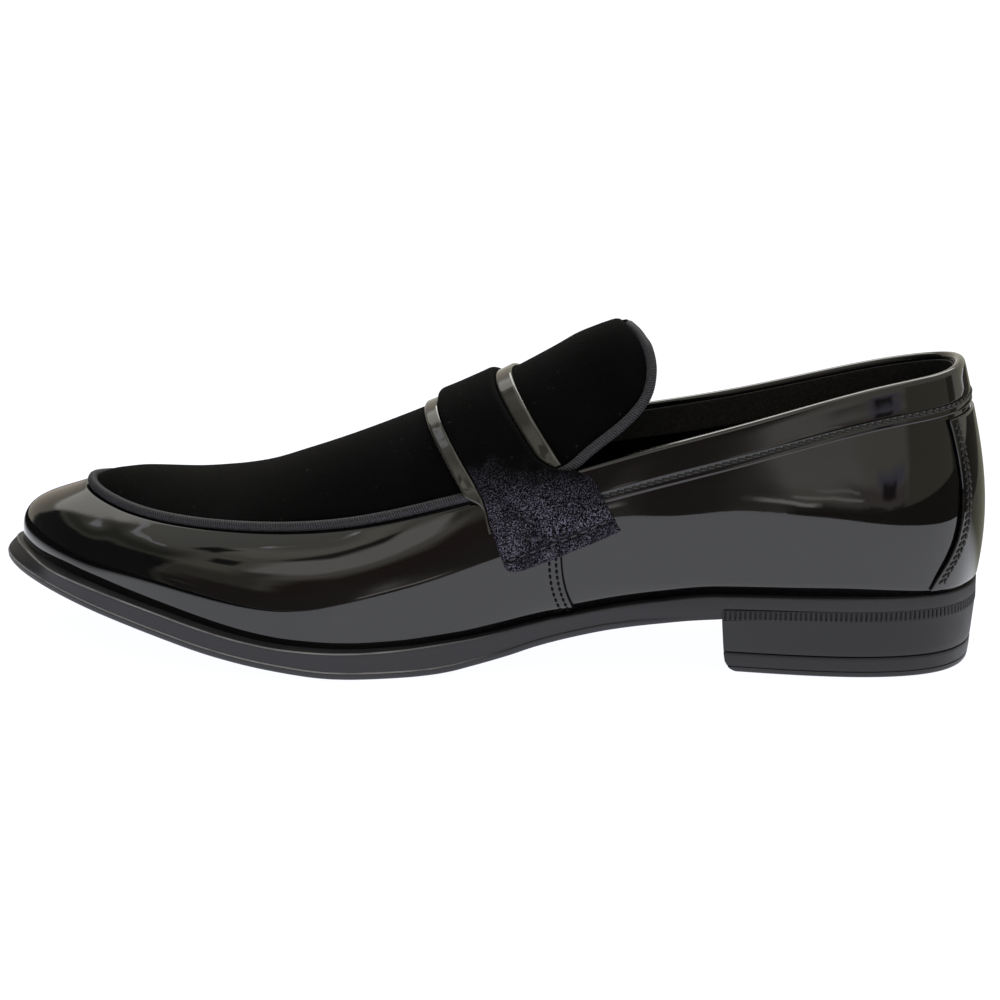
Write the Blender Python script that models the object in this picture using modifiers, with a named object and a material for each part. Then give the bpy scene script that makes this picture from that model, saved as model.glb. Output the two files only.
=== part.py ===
"""Left saddle loafer in black patent leather and velvet, about EU 43, standing empty on its sole.

All shapes come from one table of sections that runs once round the foot. Each section says where it leaves
the sole and where it reaches the upper's top edge, so the sole, the upper, its overlays and the insole
share the same last. Lengths are in millimetres along three shoe directions: station is the distance
forward of the heel end of the sole, side is towards the inner side of the foot, height is above the floor.
"""

import math
from collections import namedtuple

import bmesh
import bpy
import numpy as np
from mathutils import Vector
from mathutils.bvhtree import BVHTree

MM = 0.001

# Driving dimensions
SOLE_LENGTH = 308.5
BACK_OVERHANG = 1.6
SIDE_CENTRE = -1.4
FIT_GAP = 0.3
UPPER_WALL = 2.0
APRON_WALL = 2.4
PIPING_RADIUS = 1.25
SEAM_HALF = PIPING_RADIUS + 0.4
BAND_HEIGHT = 11.4
BAND_THICK = 1.0
BAND_REACH = 4.84
BACKSTAY_THICK = 1.0
INSOLE_THICK = 3.0
INSOLE_PLAY = 0.9
HEEL_LENGTH = 77.0
TOP_LIFT_HEIGHT = 6.6

# How finely the curves are cut
RIBS_PER_SECTION = 3
UPPER_LEVELS = 9
APRON_RINGS = 6
APRON_SPANS = 34
SEAM_STEP = 0.5
SOLE_STRIPS = 4
HEEL_POINTS = 13
BAND_SPANS = 46
BACKSTAY_LEVELS = 12
BACKSTAY_ACROSS = 13
STRAP_RAYS = 211
STRAP_RAYS_EVENED = 11

# One row for each section round the foot, lateral side first. The foot point is on the edge of the sole, the
# edge point is on the apron seam or the topline. A lean is in degrees from upright: outwards at the foot,
# inwards at the edge. A pull is the length of that end's handle as a share of the section's chord.
Section = namedtuple(
    "Section",
    "name foot_station foot_side edge_station edge_side edge_height foot_lean foot_pull edge_lean edge_pull",
)
SECTIONS = [
    Section("back", 0, 0, 7.8, 0, 92.0, 10, 0.38, 14, 0.38),
    Section("lateral_heel_corner", 9, -22.5, 14, -16.5, 90.4, 14, 0.36, 13, 0.36),
    Section("lateral_heel", 36, -33, 36, -25.5, 86.4, 14, 0.35, 11, 0.35),
    Section("lateral_quarter", 73, -33.5, 69, -30.3, 77.1, 14, 0.35, 8, 0.35),
    Section("lateral_shank", 107, -33, 99, -33.3, 68.5, 20, 0.35, 8, 0.35),
    Section("lateral_throat", 139, -37.5, 125, -34.3, 60.6, 18, 0.35, 16, 0.35),
    Section("lateral_instep", 169, -46, 159, -33.5, 50.6, 14, 0.36, 36, 0.36),
    Section("lateral_ball", 199, -52.5, 191, -34.2, 43.2, 12, 0.38, 50, 0.40),
    Section("lateral_tread", 229, -49.5, 223, -32.5, 40.8, 12, 0.40, 55, 0.40),
    Section("lateral_vamp", 257, -40, 251, -25.0, 41.2, 12, 0.42, 58, 0.42),
    Section("lateral_toe", 281.5, -27.8, 269, -13.5, 43.0, 10, 0.45, 62, 0.45),
    Section("lateral_toe_corner", 299.5, -12.5, 278, -4.5, 45.2, 8, 0.48, 65, 0.45),
    Section("tip", 308.5, 4, 280.8, 4, 46.2, 6, 0.48, 66, 0.42),
    Section("medial_toe_corner", 303, 18.5, 278.6, 12, 45.4, 8, 0.48, 65, 0.45),
    Section("medial_toe", 287, 31.5, 270.5, 20.5, 43.8, 10, 0.45, 62, 0.45),
    Section("medial_vamp", 263, 41, 253, 29, 42.2, 12, 0.42, 58, 0.42),
    Section("medial_tread", 236, 48.5, 225, 34, 42.0, 12, 0.40, 55, 0.40),
    Section("medial_ball", 206, 48.5, 193, 35, 44.6, 12, 0.38, 50, 0.40),
    Section("medial_instep", 173, 38, 161, 34, 51.8, 18, 0.36, 36, 0.36),
    Section("medial_throat", 139, 29, 127, 34.3, 62.8, 26, 0.35, 16, 0.35),
    Section("medial_shank", 107, 28.5, 99, 33.3, 68.9, 26, 0.35, 8, 0.35),
    Section("medial_quarter", 73, 32, 69, 30.3, 75.6, 16, 0.35, 8, 0.35),
    Section("medial_heel", 36, 33, 36, 25.5, 84.6, 14, 0.35, 11, 0.35),
    Section("medial_heel_corner", 9, 22.5, 14, 16.5, 90.0, 14, 0.36, 13, 0.36),
]
SECTION_COUNT = len(SECTIONS)
SECTION_INDEX = {row.name: index for index, row in enumerate(SECTIONS)}

# Sole heights along the foot: the underside, and the top that carries the upper. The margin is the ledge
# left outside the upper.
SoleRow = namedtuple("SoleRow", "station under top margin")
SOLE_ROWS = [
    SoleRow(0, 19.4, 25.4, 1.4),
    SoleRow(40, 19.2, 25.5, 1.6),
    SoleRow(78, 17.8, 25.0, 1.8),
    SoleRow(98, 15.4, 22.6, 2.0),
    SoleRow(111, 13.6, 20.4, 2.0),
    SoleRow(127, 10.8, 17.2, 2.2),
    SoleRow(141, 7.4, 13.8, 2.6),
    SoleRow(157, 3.4, 10.8, 3.4),
    SoleRow(178, 0.0, 8.8, 4.4),
    SoleRow(205, 0.0, 8.8, 5.0),
    SoleRow(216, 2.2, 10.2, 5.0),
    SoleRow(232, 5.5, 13.4, 5.0),
    SoleRow(248, 8.9, 16.7, 4.8),
    SoleRow(268, 12.8, 20.4, 4.6),
    SoleRow(288, 16.2, 23.8, 4.8),
    SoleRow(308.5, 19.4, 27.6, 5.2),
]

# The sole's edge from the tread up. Each line has its height over the underside or under the top, and is set
# in along the forepart; the set-in fades out behind the waist, where the edge is plain.
SoleEdgeRow = namedtuple("SoleEdgeRow", "name inset over_underside under_top")
SOLE_EDGE_ROWS = [
    SoleEdgeRow("tread", 1.8, 0.0, None),
    SoleEdgeRow("tread_corner", 0.8, 0.5, None),
    SoleEdgeRow("tread_top", 0.6, 2.0, None),
    SoleEdgeRow("edge_foot", 0.0, 2.4, None),
    SoleEdgeRow("edge_top", 0.0, None, 0.7),
    SoleEdgeRow("ledge", 0.7, None, 0.0),
]
PLAIN_EDGE_STATION = 90.0
PLAIN_EDGE_FADE = 40.0

# The heel in level slices: how far its breast stands back from the heel's length, how far its edge is set
# in from the sole's, and how much it narrows towards the breast.
HeelRow = namedtuple("HeelRow", "name short inset pinch")
HEEL_SEAT = HeelRow("seat", 0.0, 0.1, 0.2)
HEEL_BASE = HeelRow("base", 0.6, 1.1, 2.2)
LIFT_TOP = HeelRow("lift_top", 0.6, 1.1, 2.4)
LIFT_SIDE = HeelRow("lift_side", 1.0, 1.3, 2.6)
LIFT_CORNER = HeelRow("lift_corner", 2.4, 1.6, 3.0)
LIFT_TREAD = HeelRow("lift_tread", 5.0, 2.2, 3.2)
LIFT_SIDE_HEIGHT = 3.6
LIFT_CORNER_HEIGHT = 1.2

# The crest of the apron and tongue, from the apron's front to the tongue's end.
RidgeRow = namedtuple("RidgeRow", "station side height")
RIDGE_ROWS = [
    RidgeRow(100, 0.0, 104.0),
    RidgeRow(109, 0.0, 103.0),
    RidgeRow(122, 0.0, 98.6),
    RidgeRow(132, 0.0, 92.8),
    RidgeRow(152, 0.0, 81.8),
    RidgeRow(171, 0.5, 73.2),
    RidgeRow(195, 1.0, 63.2),
    RidgeRow(209, 1.5, 58.0),
    RidgeRow(224, 2.0, 53.0),
    RidgeRow(235, 2.5, 51.1),
    RidgeRow(247, 2.5, 50.2),
    RidgeRow(262, 3.0, 50.6),
    RidgeRow(272, 3.5, 49.6),
]
RIDGE_FRONT = 269.0
RIDGE_BACK = 112.0
APRON_CROWN = 2.1

# The tongue's free edge behind the throat. The medial side mirrors the lateral, set forward by the turn.
TongueRow = namedtuple("TongueRow", "name station side height")
TONGUE_ROWS = [
    TongueRow("low", 118.0, 30.2, 72.0),
    TongueRow("lower", 110.0, 26.8, 77.4),
    TongueRow("middle", 104.6, 23.3, 82.4),
    TongueRow("high", 101.8, 18.6, 88.2),
    TongueRow("upper", 102.9, 13.8, 94.0),
    TongueRow("top", 105.8, 8.0, 98.8),
    TongueRow("end", 107.6, 0.0, 101.8),
]
TONGUE_TURN = 2.6

# Half the width of the backstay, in sections either side of the back, by height up the wall.
BackstayRow = namedtuple("BackstayRow", "level reach")
BACKSTAY_ROWS = [
    BackstayRow(0.02, 1.30),
    BackstayRow(0.09, 1.22),
    BackstayRow(0.17, 1.10),
    BackstayRow(0.26, 1.00),
    BackstayRow(0.36, 0.94),
    BackstayRow(0.50, 0.91),
    BackstayRow(0.62, 0.93),
    BackstayRow(0.74, 0.97),
    BackstayRow(0.81, 1.01),
]

# The saddle strap lies in planes that lean back from upright across the instep. Width runs forward across
# the strap from its middle, arc runs down from the crest. The edges are those of the velvet, which widens
# into a tab at each end; rise is how far its face stands above its underside.
STRAP_STATION = 157.7
STRAP_HEIGHT = 79.5
STRAP_LEAN = 39.5
STRAP_CLEARANCE = 0.4
StrapRow = namedtuple("StrapRow", "arc front rear rise")
STRAP_ROWS = [
    StrapRow(0, 9.4, -9.1, 2.9),
    StrapRow(14, 9.4, -9.2, 2.9),
    StrapRow(28, 9.4, -9.6, 2.6),
    StrapRow(40, 9.4, -9.9, 2.2),
    StrapRow(46, 9.8, -12.5, 1.9),
    StrapRow(50, 10.8, -18.0, 1.7),
    StrapRow(53, 11.9, -20.2, 1.6),
    StrapRow(61, 14.4, -18.8, 1.5),
    StrapRow(71.5, 17.6, -16.9, 1.4),
]
TRIM_FRONT = 14.2
TRIM_REAR = -15.0
TRIM_THICK = 1.0
TRIM_FRONT_ARC = 57.5
TRIM_REAR_ARC = 46.0

# The velvet and the strips are thinner along their edges: the share of the rise at each share of the width.
CrossRow = namedtuple("CrossRow", "across rise")
STRAP_CROSS = [
    CrossRow(0.0, 0.55),
    CrossRow(0.06, 0.9),
    CrossRow(0.2, 1.0),
    CrossRow(0.4, 1.0),
    CrossRow(0.6, 1.0),
    CrossRow(0.8, 1.0),
    CrossRow(0.94, 0.9),
    CrossRow(1.0, 0.55),
]
TRIM_CROSS = [CrossRow(0.0, 0.7), CrossRow(0.15, 1.0), CrossRow(0.85, 1.0), CrossRow(1.0, 0.7)]

# The form under the strap: how far it reaches each way, how deep inside the foot its rays start and how far
# they fan out, and how wide the strap swells over the edges that it covers.
FORM_REAR = -24.0
FORM_FRONT = 22.0
FORM_ARC = 80.0
FORM_DEPTH = 36.0
FORM_FAN = 140.0
SWELL_WIDTH = 7.0
SWELL_GAP = 0.5


# Curves through the tables


def closed_curve(values, by_length=False):
    """A smooth closed curve through the values at 0, 1, 2 and so on; by_length evens out uneven spacing."""
    values = np.asarray(values, float)
    count = len(values)
    runs = np.roll(values, -1, 0) - values
    spans = np.linalg.norm(runs, axis=1) if by_length else np.ones(count)
    before = np.roll(spans, 1)
    rises = runs / spans[:, None]
    unit = np.eye(count)
    system = 2 * np.diag(before + spans)
    system += np.roll(unit, -1, axis=1) * before[:, None] + np.roll(unit, 1, axis=1) * spans[:, None]
    bend = np.linalg.solve(system, 6 * (rises - np.roll(rises, 1, 0)))

    def at(where):
        where = np.asarray(where, float) % count
        low = np.floor(where).astype(int) % count
        high = (low + 1) % count
        share = (where - np.floor(where))[..., None]
        rest = 1 - share
        bow = (rest**3 - rest) * bend[low] + (share**3 - share) * bend[high]
        return rest * values[low] + share * values[high] + bow * spans[low][..., None] ** 2 / 6

    return at


def profile_curve(stations, heights):
    """A smooth curve of height over station that never swings past its own rows."""
    stations = np.asarray(stations, float)
    heights = np.asarray(heights, float)
    steps = np.diff(stations)
    rises = np.diff(heights) / steps
    slopes = np.concatenate([[rises[0]], np.zeros(len(rises) - 1), [rises[-1]]])
    for i in range(1, len(rises)):
        if rises[i - 1] * rises[i] > 0:
            before, after = 2 * steps[i] + steps[i - 1], steps[i] + 2 * steps[i - 1]
            slopes[i] = (before + after) / (before / rises[i - 1] + after / rises[i])

    def at(station):
        station = np.clip(np.asarray(station, float), stations[0], stations[-1])
        i = np.clip(np.searchsorted(stations, station, side="right") - 1, 0, len(steps) - 1)
        share = (station - stations[i]) / steps[i]
        start = (1 + 2 * share) * (1 - share) ** 2 * heights[i] + share**2 * (3 - 2 * share) * heights[i + 1]
        turn = share * (1 - share) ** 2 * slopes[i] - share**2 * (1 - share) * slopes[i + 1]
        return start + turn * steps[i]

    return at


outline_at = closed_curve([(row.foot_station, row.foot_side) for row in SECTIONS])
edge_at = closed_curve([(row.edge_station, row.edge_side, row.edge_height) for row in SECTIONS])
bow_at = closed_curve([(row.foot_lean, row.foot_pull, row.edge_lean, row.edge_pull) for row in SECTIONS])
under_at = profile_curve([row.station for row in SOLE_ROWS], [row.under for row in SOLE_ROWS])
top_at = profile_curve([row.station for row in SOLE_ROWS], [row.top for row in SOLE_ROWS])
margin_at = profile_curve([row.station for row in SOLE_ROWS], [row.margin for row in SOLE_ROWS])
ridge_height_at = profile_curve([row.station for row in RIDGE_ROWS], [row.height for row in RIDGE_ROWS])
ridge_side_at = profile_curve([row.station for row in RIDGE_ROWS], [row.side for row in RIDGE_ROWS])


def outline_inward(where):
    """Unit plan direction into the shoe from the sole's edge."""
    step = 0.01
    along = outline_at(where + step) - outline_at(where - step)
    inward = np.stack([-along[..., 1], along[..., 0]], axis=-1)
    return inward / np.linalg.norm(inward, axis=-1, keepdims=True)


def inset_outline(where, inset):
    """Plan points on the sole's outline, moved in from its edge."""
    return outline_at(where) + outline_inward(where) * np.reshape(inset, (-1, 1))


def foot_points(where):
    """Where the upper meets the top of the sole."""
    plan = inset_outline(where, margin_at(outline_at(where)[:, 0]))
    return np.column_stack([plan, top_at(plan[:, 0]) + FIT_GAP])


def upper_points(where, level):
    """Points of the upper's outer face. Level runs from 0 at the sole to 1 at the top edge."""
    where = np.asarray(where, float)
    level = np.reshape(level, (-1, 1))
    foot, edge = foot_points(where), edge_at(where)
    foot_lean, foot_pull, edge_lean, edge_pull = bow_at(where).T
    inward = outline_inward(where)
    chord = np.linalg.norm(edge - foot, axis=1)

    def handle(lean, pull):
        lean = np.radians(lean)
        return np.column_stack([inward * np.sin(lean)[:, None], np.cos(lean)]) * (pull * chord)[:, None]

    first = foot + handle(-foot_lean, foot_pull)
    second = edge - handle(edge_lean, edge_pull)
    rest = 1 - level
    return rest**3 * foot + 3 * rest**2 * level * first + 3 * rest * level**2 * second + level**3 * edge


def upper_frames(where, level):
    """Outer points with the unit outward normal and the unit direction up the wall."""
    step = 1e-3
    points = upper_points(where, level)
    up = upper_points(where, level + step) - upper_points(where, level - step)
    around = upper_points(where + step, level) - upper_points(where - step, level)
    outward = np.cross(around, up)
    outward /= np.linalg.norm(outward, axis=1, keepdims=True)
    return points, outward, up / np.linalg.norm(up, axis=1, keepdims=True)


def level_below_edge(where, distance):
    """The level that lies a given distance down the wall from the top edge."""
    levels = np.linspace(0, 1, 60)
    found = []
    for place, drop in zip(np.atleast_1d(where), np.broadcast_to(distance, np.shape(np.atleast_1d(where)))):
        wall = upper_points(np.full(levels.shape, place), levels)
        run = np.concatenate([[0], np.cumsum(np.linalg.norm(np.diff(wall, axis=0), axis=1))])
        found.append(np.interp(run[-1] - drop, run, levels))
    return np.array(found)


# Making objects


def world(points):
    """Shoe directions in millimetres to the model's frame in metres: the toe points along -X."""
    points = np.asarray(points, float)
    middle = (SOLE_LENGTH - BACK_OVERHANG) / 2
    x = middle - points[..., 0]
    y = points[..., 1] - SIDE_CENTRE
    return np.stack([x, y, points[..., 2]], axis=-1) * MM


def paint(name, colour, roughness, metallic=0.0):
    material = bpy.data.materials.get(name) or bpy.data.materials.new(name)
    material.use_nodes = True
    shader = material.node_tree.nodes["Principled BSDF"]
    shader.inputs["Base Color"].default_value = (*colour, 1)
    shader.inputs["Roughness"].default_value = roughness
    shader.inputs["Metallic"].default_value = metallic
    return material


def add_object(name, data, material, collection):
    thing = bpy.data.objects.new(name, data)
    collection.objects.link(thing)
    data.materials.append(material)
    return thing


def mesh_of(name, points, faces):
    """A mesh from shoe points, with doubled points merged and its faces turned to agree."""
    mesh = bpy.data.meshes.new(name)
    mesh.from_pydata([tuple(p) for p in world(points)], [], faces)
    work = bmesh.new()
    work.from_mesh(mesh)
    bmesh.ops.remove_doubles(work, verts=work.verts, dist=0.02 * MM)
    bmesh.ops.recalc_face_normals(work, faces=work.faces)
    work.to_mesh(mesh)
    work.free()
    mesh.shade_smooth()
    return mesh


def grid_faces(rows, columns, closed):
    """Quads of a grid of points stored row by row; closed joins the last row to the first."""
    faces = []
    for row in range(rows if closed else rows - 1):
        after = (row + 1) % rows
        for column in range(columns - 1):
            faces.append(
                (row * columns + column, after * columns + column, after * columns + column + 1,
                 row * columns + column + 1)
            )
    return faces


def loft(name, rings, pairs, across, height_below, height_above):
    """A closed solid through rings of equal length. Strips between paired points fill its two ends."""
    count = len(rings[0])
    points = [tuple(p) for ring in rings for p in ring]
    faces = []
    for level in range(len(rings) - 1):
        for i in range(count):
            after = (i + 1) % count
            low, high = level * count, (level + 1) * count
            faces.append((low + i, low + after, high + after, high + i))
    for ring_index, height in ((0, height_below), (len(rings) - 1, height_above)):
        base = ring_index * count
        strips = []
        for left, right in pairs:
            strip = [base + left]
            for share in np.arange(1, across) / across:
                plan = np.array(points[base + left]) * (1 - share) + np.array(points[base + right]) * share
                strip.append(len(points))
                points.append((plan[0], plan[1], height(plan[0])))
            strips.append(strip + [base + right])
        for one, two in zip(strips, strips[1:]):
            for k in range(across):
                faces.append(tuple(dict.fromkeys((one[k], one[k + 1], two[k + 1], two[k]))))
    return mesh_of(name, points, faces)


def sweep(name, sections, closed=False):
    """A solid whose closed section, a loop of points, is carried along a path; open ends are capped."""
    count = len(sections[0])
    points = [tuple(p) for section in sections for p in section]
    faces = []
    steps = len(sections)
    for step in range(steps if closed else steps - 1):
        low, high = step * count, ((step + 1) % steps) * count
        for i in range(count):
            after = (i + 1) % count
            faces.append((low + i, low + after, high + after, high + i))
    if not closed:
        faces.append(tuple(range(count)))
        faces.append(tuple(range((steps - 1) * count, steps * count)))
    return mesh_of(name, points, faces)


def add_shell(name, mesh, thickness, material, collection):
    """An open surface made a wall that grows inwards from its outer face."""
    shell = add_object(name, mesh, material, collection)
    wall = shell.modifiers.new("Wall", "SOLIDIFY")
    wall.thickness = thickness * MM
    wall.offset = -1
    wall.use_even_offset = True
    wall.use_rim = True
    return shell


# The pieces

RIB_COUNT = SECTION_COUNT * RIBS_PER_SECTION
RIBS = np.arange(RIB_COUNT) / RIBS_PER_SECTION


def outsole():
    """The sole: flat under the ball, sprung at the toe, arched at the waist, with a thin tread layer."""
    forepart = np.clip((outline_at(RIBS)[:, 0] - PLAIN_EDGE_STATION) / PLAIN_EDGE_FADE, 0, 1)
    rings = []
    for row in SOLE_EDGE_ROWS:
        plan = inset_outline(RIBS, row.inset * forepart)
        if row.under_top is None:
            height = under_at(plan[:, 0]) + row.over_underside
        else:
            height = top_at(plan[:, 0]) - row.under_top
        rings.append(np.column_stack([plan, height]))
    pairs = [(i, (RIB_COUNT - i) % RIB_COUNT) for i in range(RIB_COUNT // 2 + 1)]
    return loft("outsole", rings, pairs, SOLE_STRIPS, under_at, top_at)


def side_at(station, side, inset):
    """How far out the sole's edge lies on one side, at a station near the heel, moved in from the edge."""
    reach = SECTION_INDEX["lateral_throat"]
    places = np.linspace(0, -np.sign(side) * reach, 400)
    plan = inset_outline(places, np.full(places.shape, inset))
    order = np.argsort(plan[:, 0])
    return np.interp(station, plan[order, 0], plan[order, 1])


def heel_ring(row, height):
    """A horizontal slice of the heel: round the back from one breast corner to the other."""
    turns = np.linspace(0, math.pi / 2, HEEL_POINTS)
    stations = row.inset + (HEEL_LENGTH - row.short - row.inset) * (1 - np.sin(turns))
    narrowing = row.pinch * (stations / HEEL_LENGTH) ** 2
    lateral = np.column_stack([stations, side_at(stations, -1, row.inset) + narrowing])
    medial = np.column_stack([stations, side_at(stations, 1, row.inset) - narrowing])[::-1]
    lateral[-1, 1] = medial[0, 1] = 0.0
    plan = np.vstack([lateral, medial[1:]])
    return np.column_stack([plan, height(plan[:, 0])])


def heel_solid(name, rings, below, above):
    count = len(rings[0])
    pairs = [(i, count - 1 - i) for i in range(count // 2 + 1)]
    return loft(name, rings, pairs, 1, below, above)


def level(height):
    return lambda station: np.full(np.shape(station), height)


def heel_block():
    """The heel between the sole and the top lift, flush with the sole's edge at its top."""
    base, seat = level(TOP_LIFT_HEIGHT + FIT_GAP), lambda station: under_at(station) - FIT_GAP
    return heel_solid("heel_block", [heel_ring(HEEL_BASE, base), heel_ring(HEEL_SEAT, seat)], base, seat)


def top_lift():
    """The heel's wearing layer, rounded off below at the breast."""
    rings = [
        heel_ring(LIFT_TREAD, level(0.0)),
        heel_ring(LIFT_CORNER, level(LIFT_CORNER_HEIGHT)),
        heel_ring(LIFT_SIDE, level(LIFT_SIDE_HEIGHT)),
        heel_ring(LIFT_TOP, level(TOP_LIFT_HEIGHT)),
    ]
    return heel_solid("top_lift", rings, level(0.0), level(TOP_LIFT_HEIGHT))


def insole():
    """The footbed, inside the upper's wall."""
    inset = margin_at(outline_at(RIBS)[:, 0]) + UPPER_WALL + INSOLE_PLAY
    plan = inset_outline(RIBS, inset)
    low = lambda s: top_at(s) + FIT_GAP
    high = lambda s: top_at(s) + FIT_GAP + INSOLE_THICK
    rings = [np.column_stack([plan, low(plan[:, 0])]), np.column_stack([plan, high(plan[:, 0])])]
    pairs = [(i, (RIB_COUNT - i) % RIB_COUNT) for i in range(RIB_COUNT // 2 + 1)]
    return loft("insole", rings, pairs, SOLE_STRIPS, low, high)


def upper_surface():
    """The outer face of vamp and quarters, from the sole to the apron seam and the topline."""
    levels = np.linspace(0, 1, UPPER_LEVELS)
    points = np.stack([upper_points(RIBS, np.full(RIB_COUNT, level)) for level in levels], axis=1)
    return points.reshape(-1, 3), grid_faces(RIB_COUNT, UPPER_LEVELS, closed=True)


def seam_places():
    """Where along the sections the apron is sewn to the upper, from the lateral throat round the toe."""
    first, last = SECTION_INDEX["lateral_throat"], SECTION_INDEX["medial_throat"]
    return np.arange(first, last + SEAM_STEP / 2, SEAM_STEP)


def apron_outline():
    """The velvet's edge from the tip round the tongue, with the way out of the wall where it is sewn.

    Along the seam it lies past the upper's edge, straight on up the wall. The last value tells which of the
    points are sewn.
    """
    seam = seam_places()
    points, _, up = upper_frames(seam, np.ones(len(seam)))
    around = list(points + up * 2 * SEAM_HALF)
    for row in TONGUE_ROWS:
        around.append((row.station + TONGUE_TURN * min(row.side / 12, 1), row.side, row.height))
    around += [(row.station, -row.side, row.height) for row in TONGUE_ROWS[-2::-1]]
    tip, half = (len(seam) - 1) / 2, len(around) / 2
    share = np.linspace(0, 1, APRON_SPANS + 1)
    index = np.concatenate([tip + half * share, (tip - half * share)[-2:0:-1]]) % len(around)
    outline = closed_curve(around, by_length=True)(index)
    sewn = index <= len(seam) - 1
    points, _, up = upper_frames(seam[0] + SEAM_STEP * index[sewn], np.ones(sewn.sum()))
    outline[sewn] = points + up * 2 * SEAM_HALF
    return outline, -up, sewn


def apron_rings():
    """Rings of the velvet's outer face, arched from its outline up to the crest."""
    outline = apron_outline()[0]
    total = len(outline)
    mates = outline[(-np.arange(total)) % total]
    crest_station = np.clip((outline[:, 0] + mates[:, 0]) / 2, RIDGE_BACK, RIDGE_FRONT)
    crest = np.column_stack(
        [crest_station, ridge_side_at(crest_station), ridge_height_at(crest_station)]
    )
    rings = []
    for share in np.linspace(0, 1, APRON_RINGS):
        plan = outline[:, :2] * (1 - share) + crest[:, :2] * share
        rise = 1 - (1 - share) ** APRON_CROWN
        rings.append(np.column_stack([plan, outline[:, 2] + (crest[:, 2] - outline[:, 2]) * rise]))
    return np.stack(rings, axis=1)


def apron_surface():
    """The outer face of the velvet apron and tongue."""
    points = apron_rings()
    return points.reshape(-1, 3), grid_faces(len(points), APRON_RINGS, closed=True)


def piping_line():
    """The middle of the piping, half the seam out from the velvet's edge along its own face."""
    rings = apron_rings()
    edge = rings[:, 0]
    along = np.roll(edge, -1, 0) - np.roll(edge, 1, 0)
    along /= np.linalg.norm(along, axis=1, keepdims=True)
    out = edge - rings[:, 1]
    out -= along * np.sum(out * along, axis=1, keepdims=True)
    out /= np.linalg.norm(out, axis=1, keepdims=True)
    _, sewn_out, sewn = apron_outline()
    out[sewn] = sewn_out
    out[~sewn] = (np.roll(out, 1, 0) + 2 * out + np.roll(out, -1, 0))[~sewn]
    return edge + out / np.linalg.norm(out, axis=1, keepdims=True) * SEAM_HALF


def collar_band():
    """The patent binding round the topline: a strip down the outside, turned over the upper's top edge."""
    places = np.linspace(-BAND_REACH, BAND_REACH, BAND_SPANS + 1)
    face, rim, inside = FIT_GAP + BAND_THICK, FIT_GAP, -UPPER_WALL
    crown = FIT_GAP + BAND_THICK
    rows = np.array([-1.0, -0.66, -0.33, -0.06])
    outline = [(face, row, 0) for row in rows]
    outline += [(face, 0, 0.5), (face - 0.6, 0, crown), (inside + 0.5, 0, crown), (inside, 0, crown - 0.5)]
    outline += [(inside, 0, rim), (rim, 0, rim)]
    outline += [(rim, row, 0) for row in rows[::-1]]
    drop = BAND_HEIGHT * np.ones(len(places))
    loops = []
    for out, share, past in outline:
        points, outward, up = upper_frames(places, level_below_edge(places, -share * drop))
        loops.append(points + outward * out + up * past)
    return sweep("collar_band", np.stack(loops, axis=1))


def slab(name, outer, inner):
    """A solid between two grids of points of the same shape."""
    rows, columns = outer.shape[:2]
    points = np.concatenate([outer.reshape(-1, 3), inner.reshape(-1, 3)])
    top = grid_faces(rows, columns, closed=False)
    shift = rows * columns
    faces = top + [tuple(index + shift for index in face[::-1]) for face in top]
    ring = [(0, column) for column in range(columns)]
    ring += [(row, columns - 1) for row in range(1, rows)]
    ring += [(rows - 1, column) for column in range(columns - 2, -1, -1)]
    ring += [(row, 0) for row in range(rows - 2, 0, -1)]
    edge = [row * columns + column for row, column in ring]
    for one, two in zip(edge, edge[1:] + edge[:1]):
        faces.append((one, two, two + shift, one + shift))
    return mesh_of(name, points, faces)


def backstay():
    """The overlay up the back of the heel, narrow at mid height and flared at the sole."""
    reach_at = profile_curve([row.level for row in BACKSTAY_ROWS], [row.reach for row in BACKSTAY_ROWS])
    levels = np.linspace(BACKSTAY_ROWS[0].level, BACKSTAY_ROWS[-1].level, BACKSTAY_LEVELS)
    across = np.linspace(-1, 1, BACKSTAY_ACROSS)
    layers = []
    for out in (FIT_GAP + BACKSTAY_THICK, FIT_GAP):
        rows = []
        for level_here in levels:
            places = across * reach_at(level_here)
            points, outward, _ = upper_frames(places, np.full(across.shape, level_here))
            rows.append(points + outward * out)
        layers.append(np.stack(rows))
    return slab("backstay", *layers)


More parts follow.
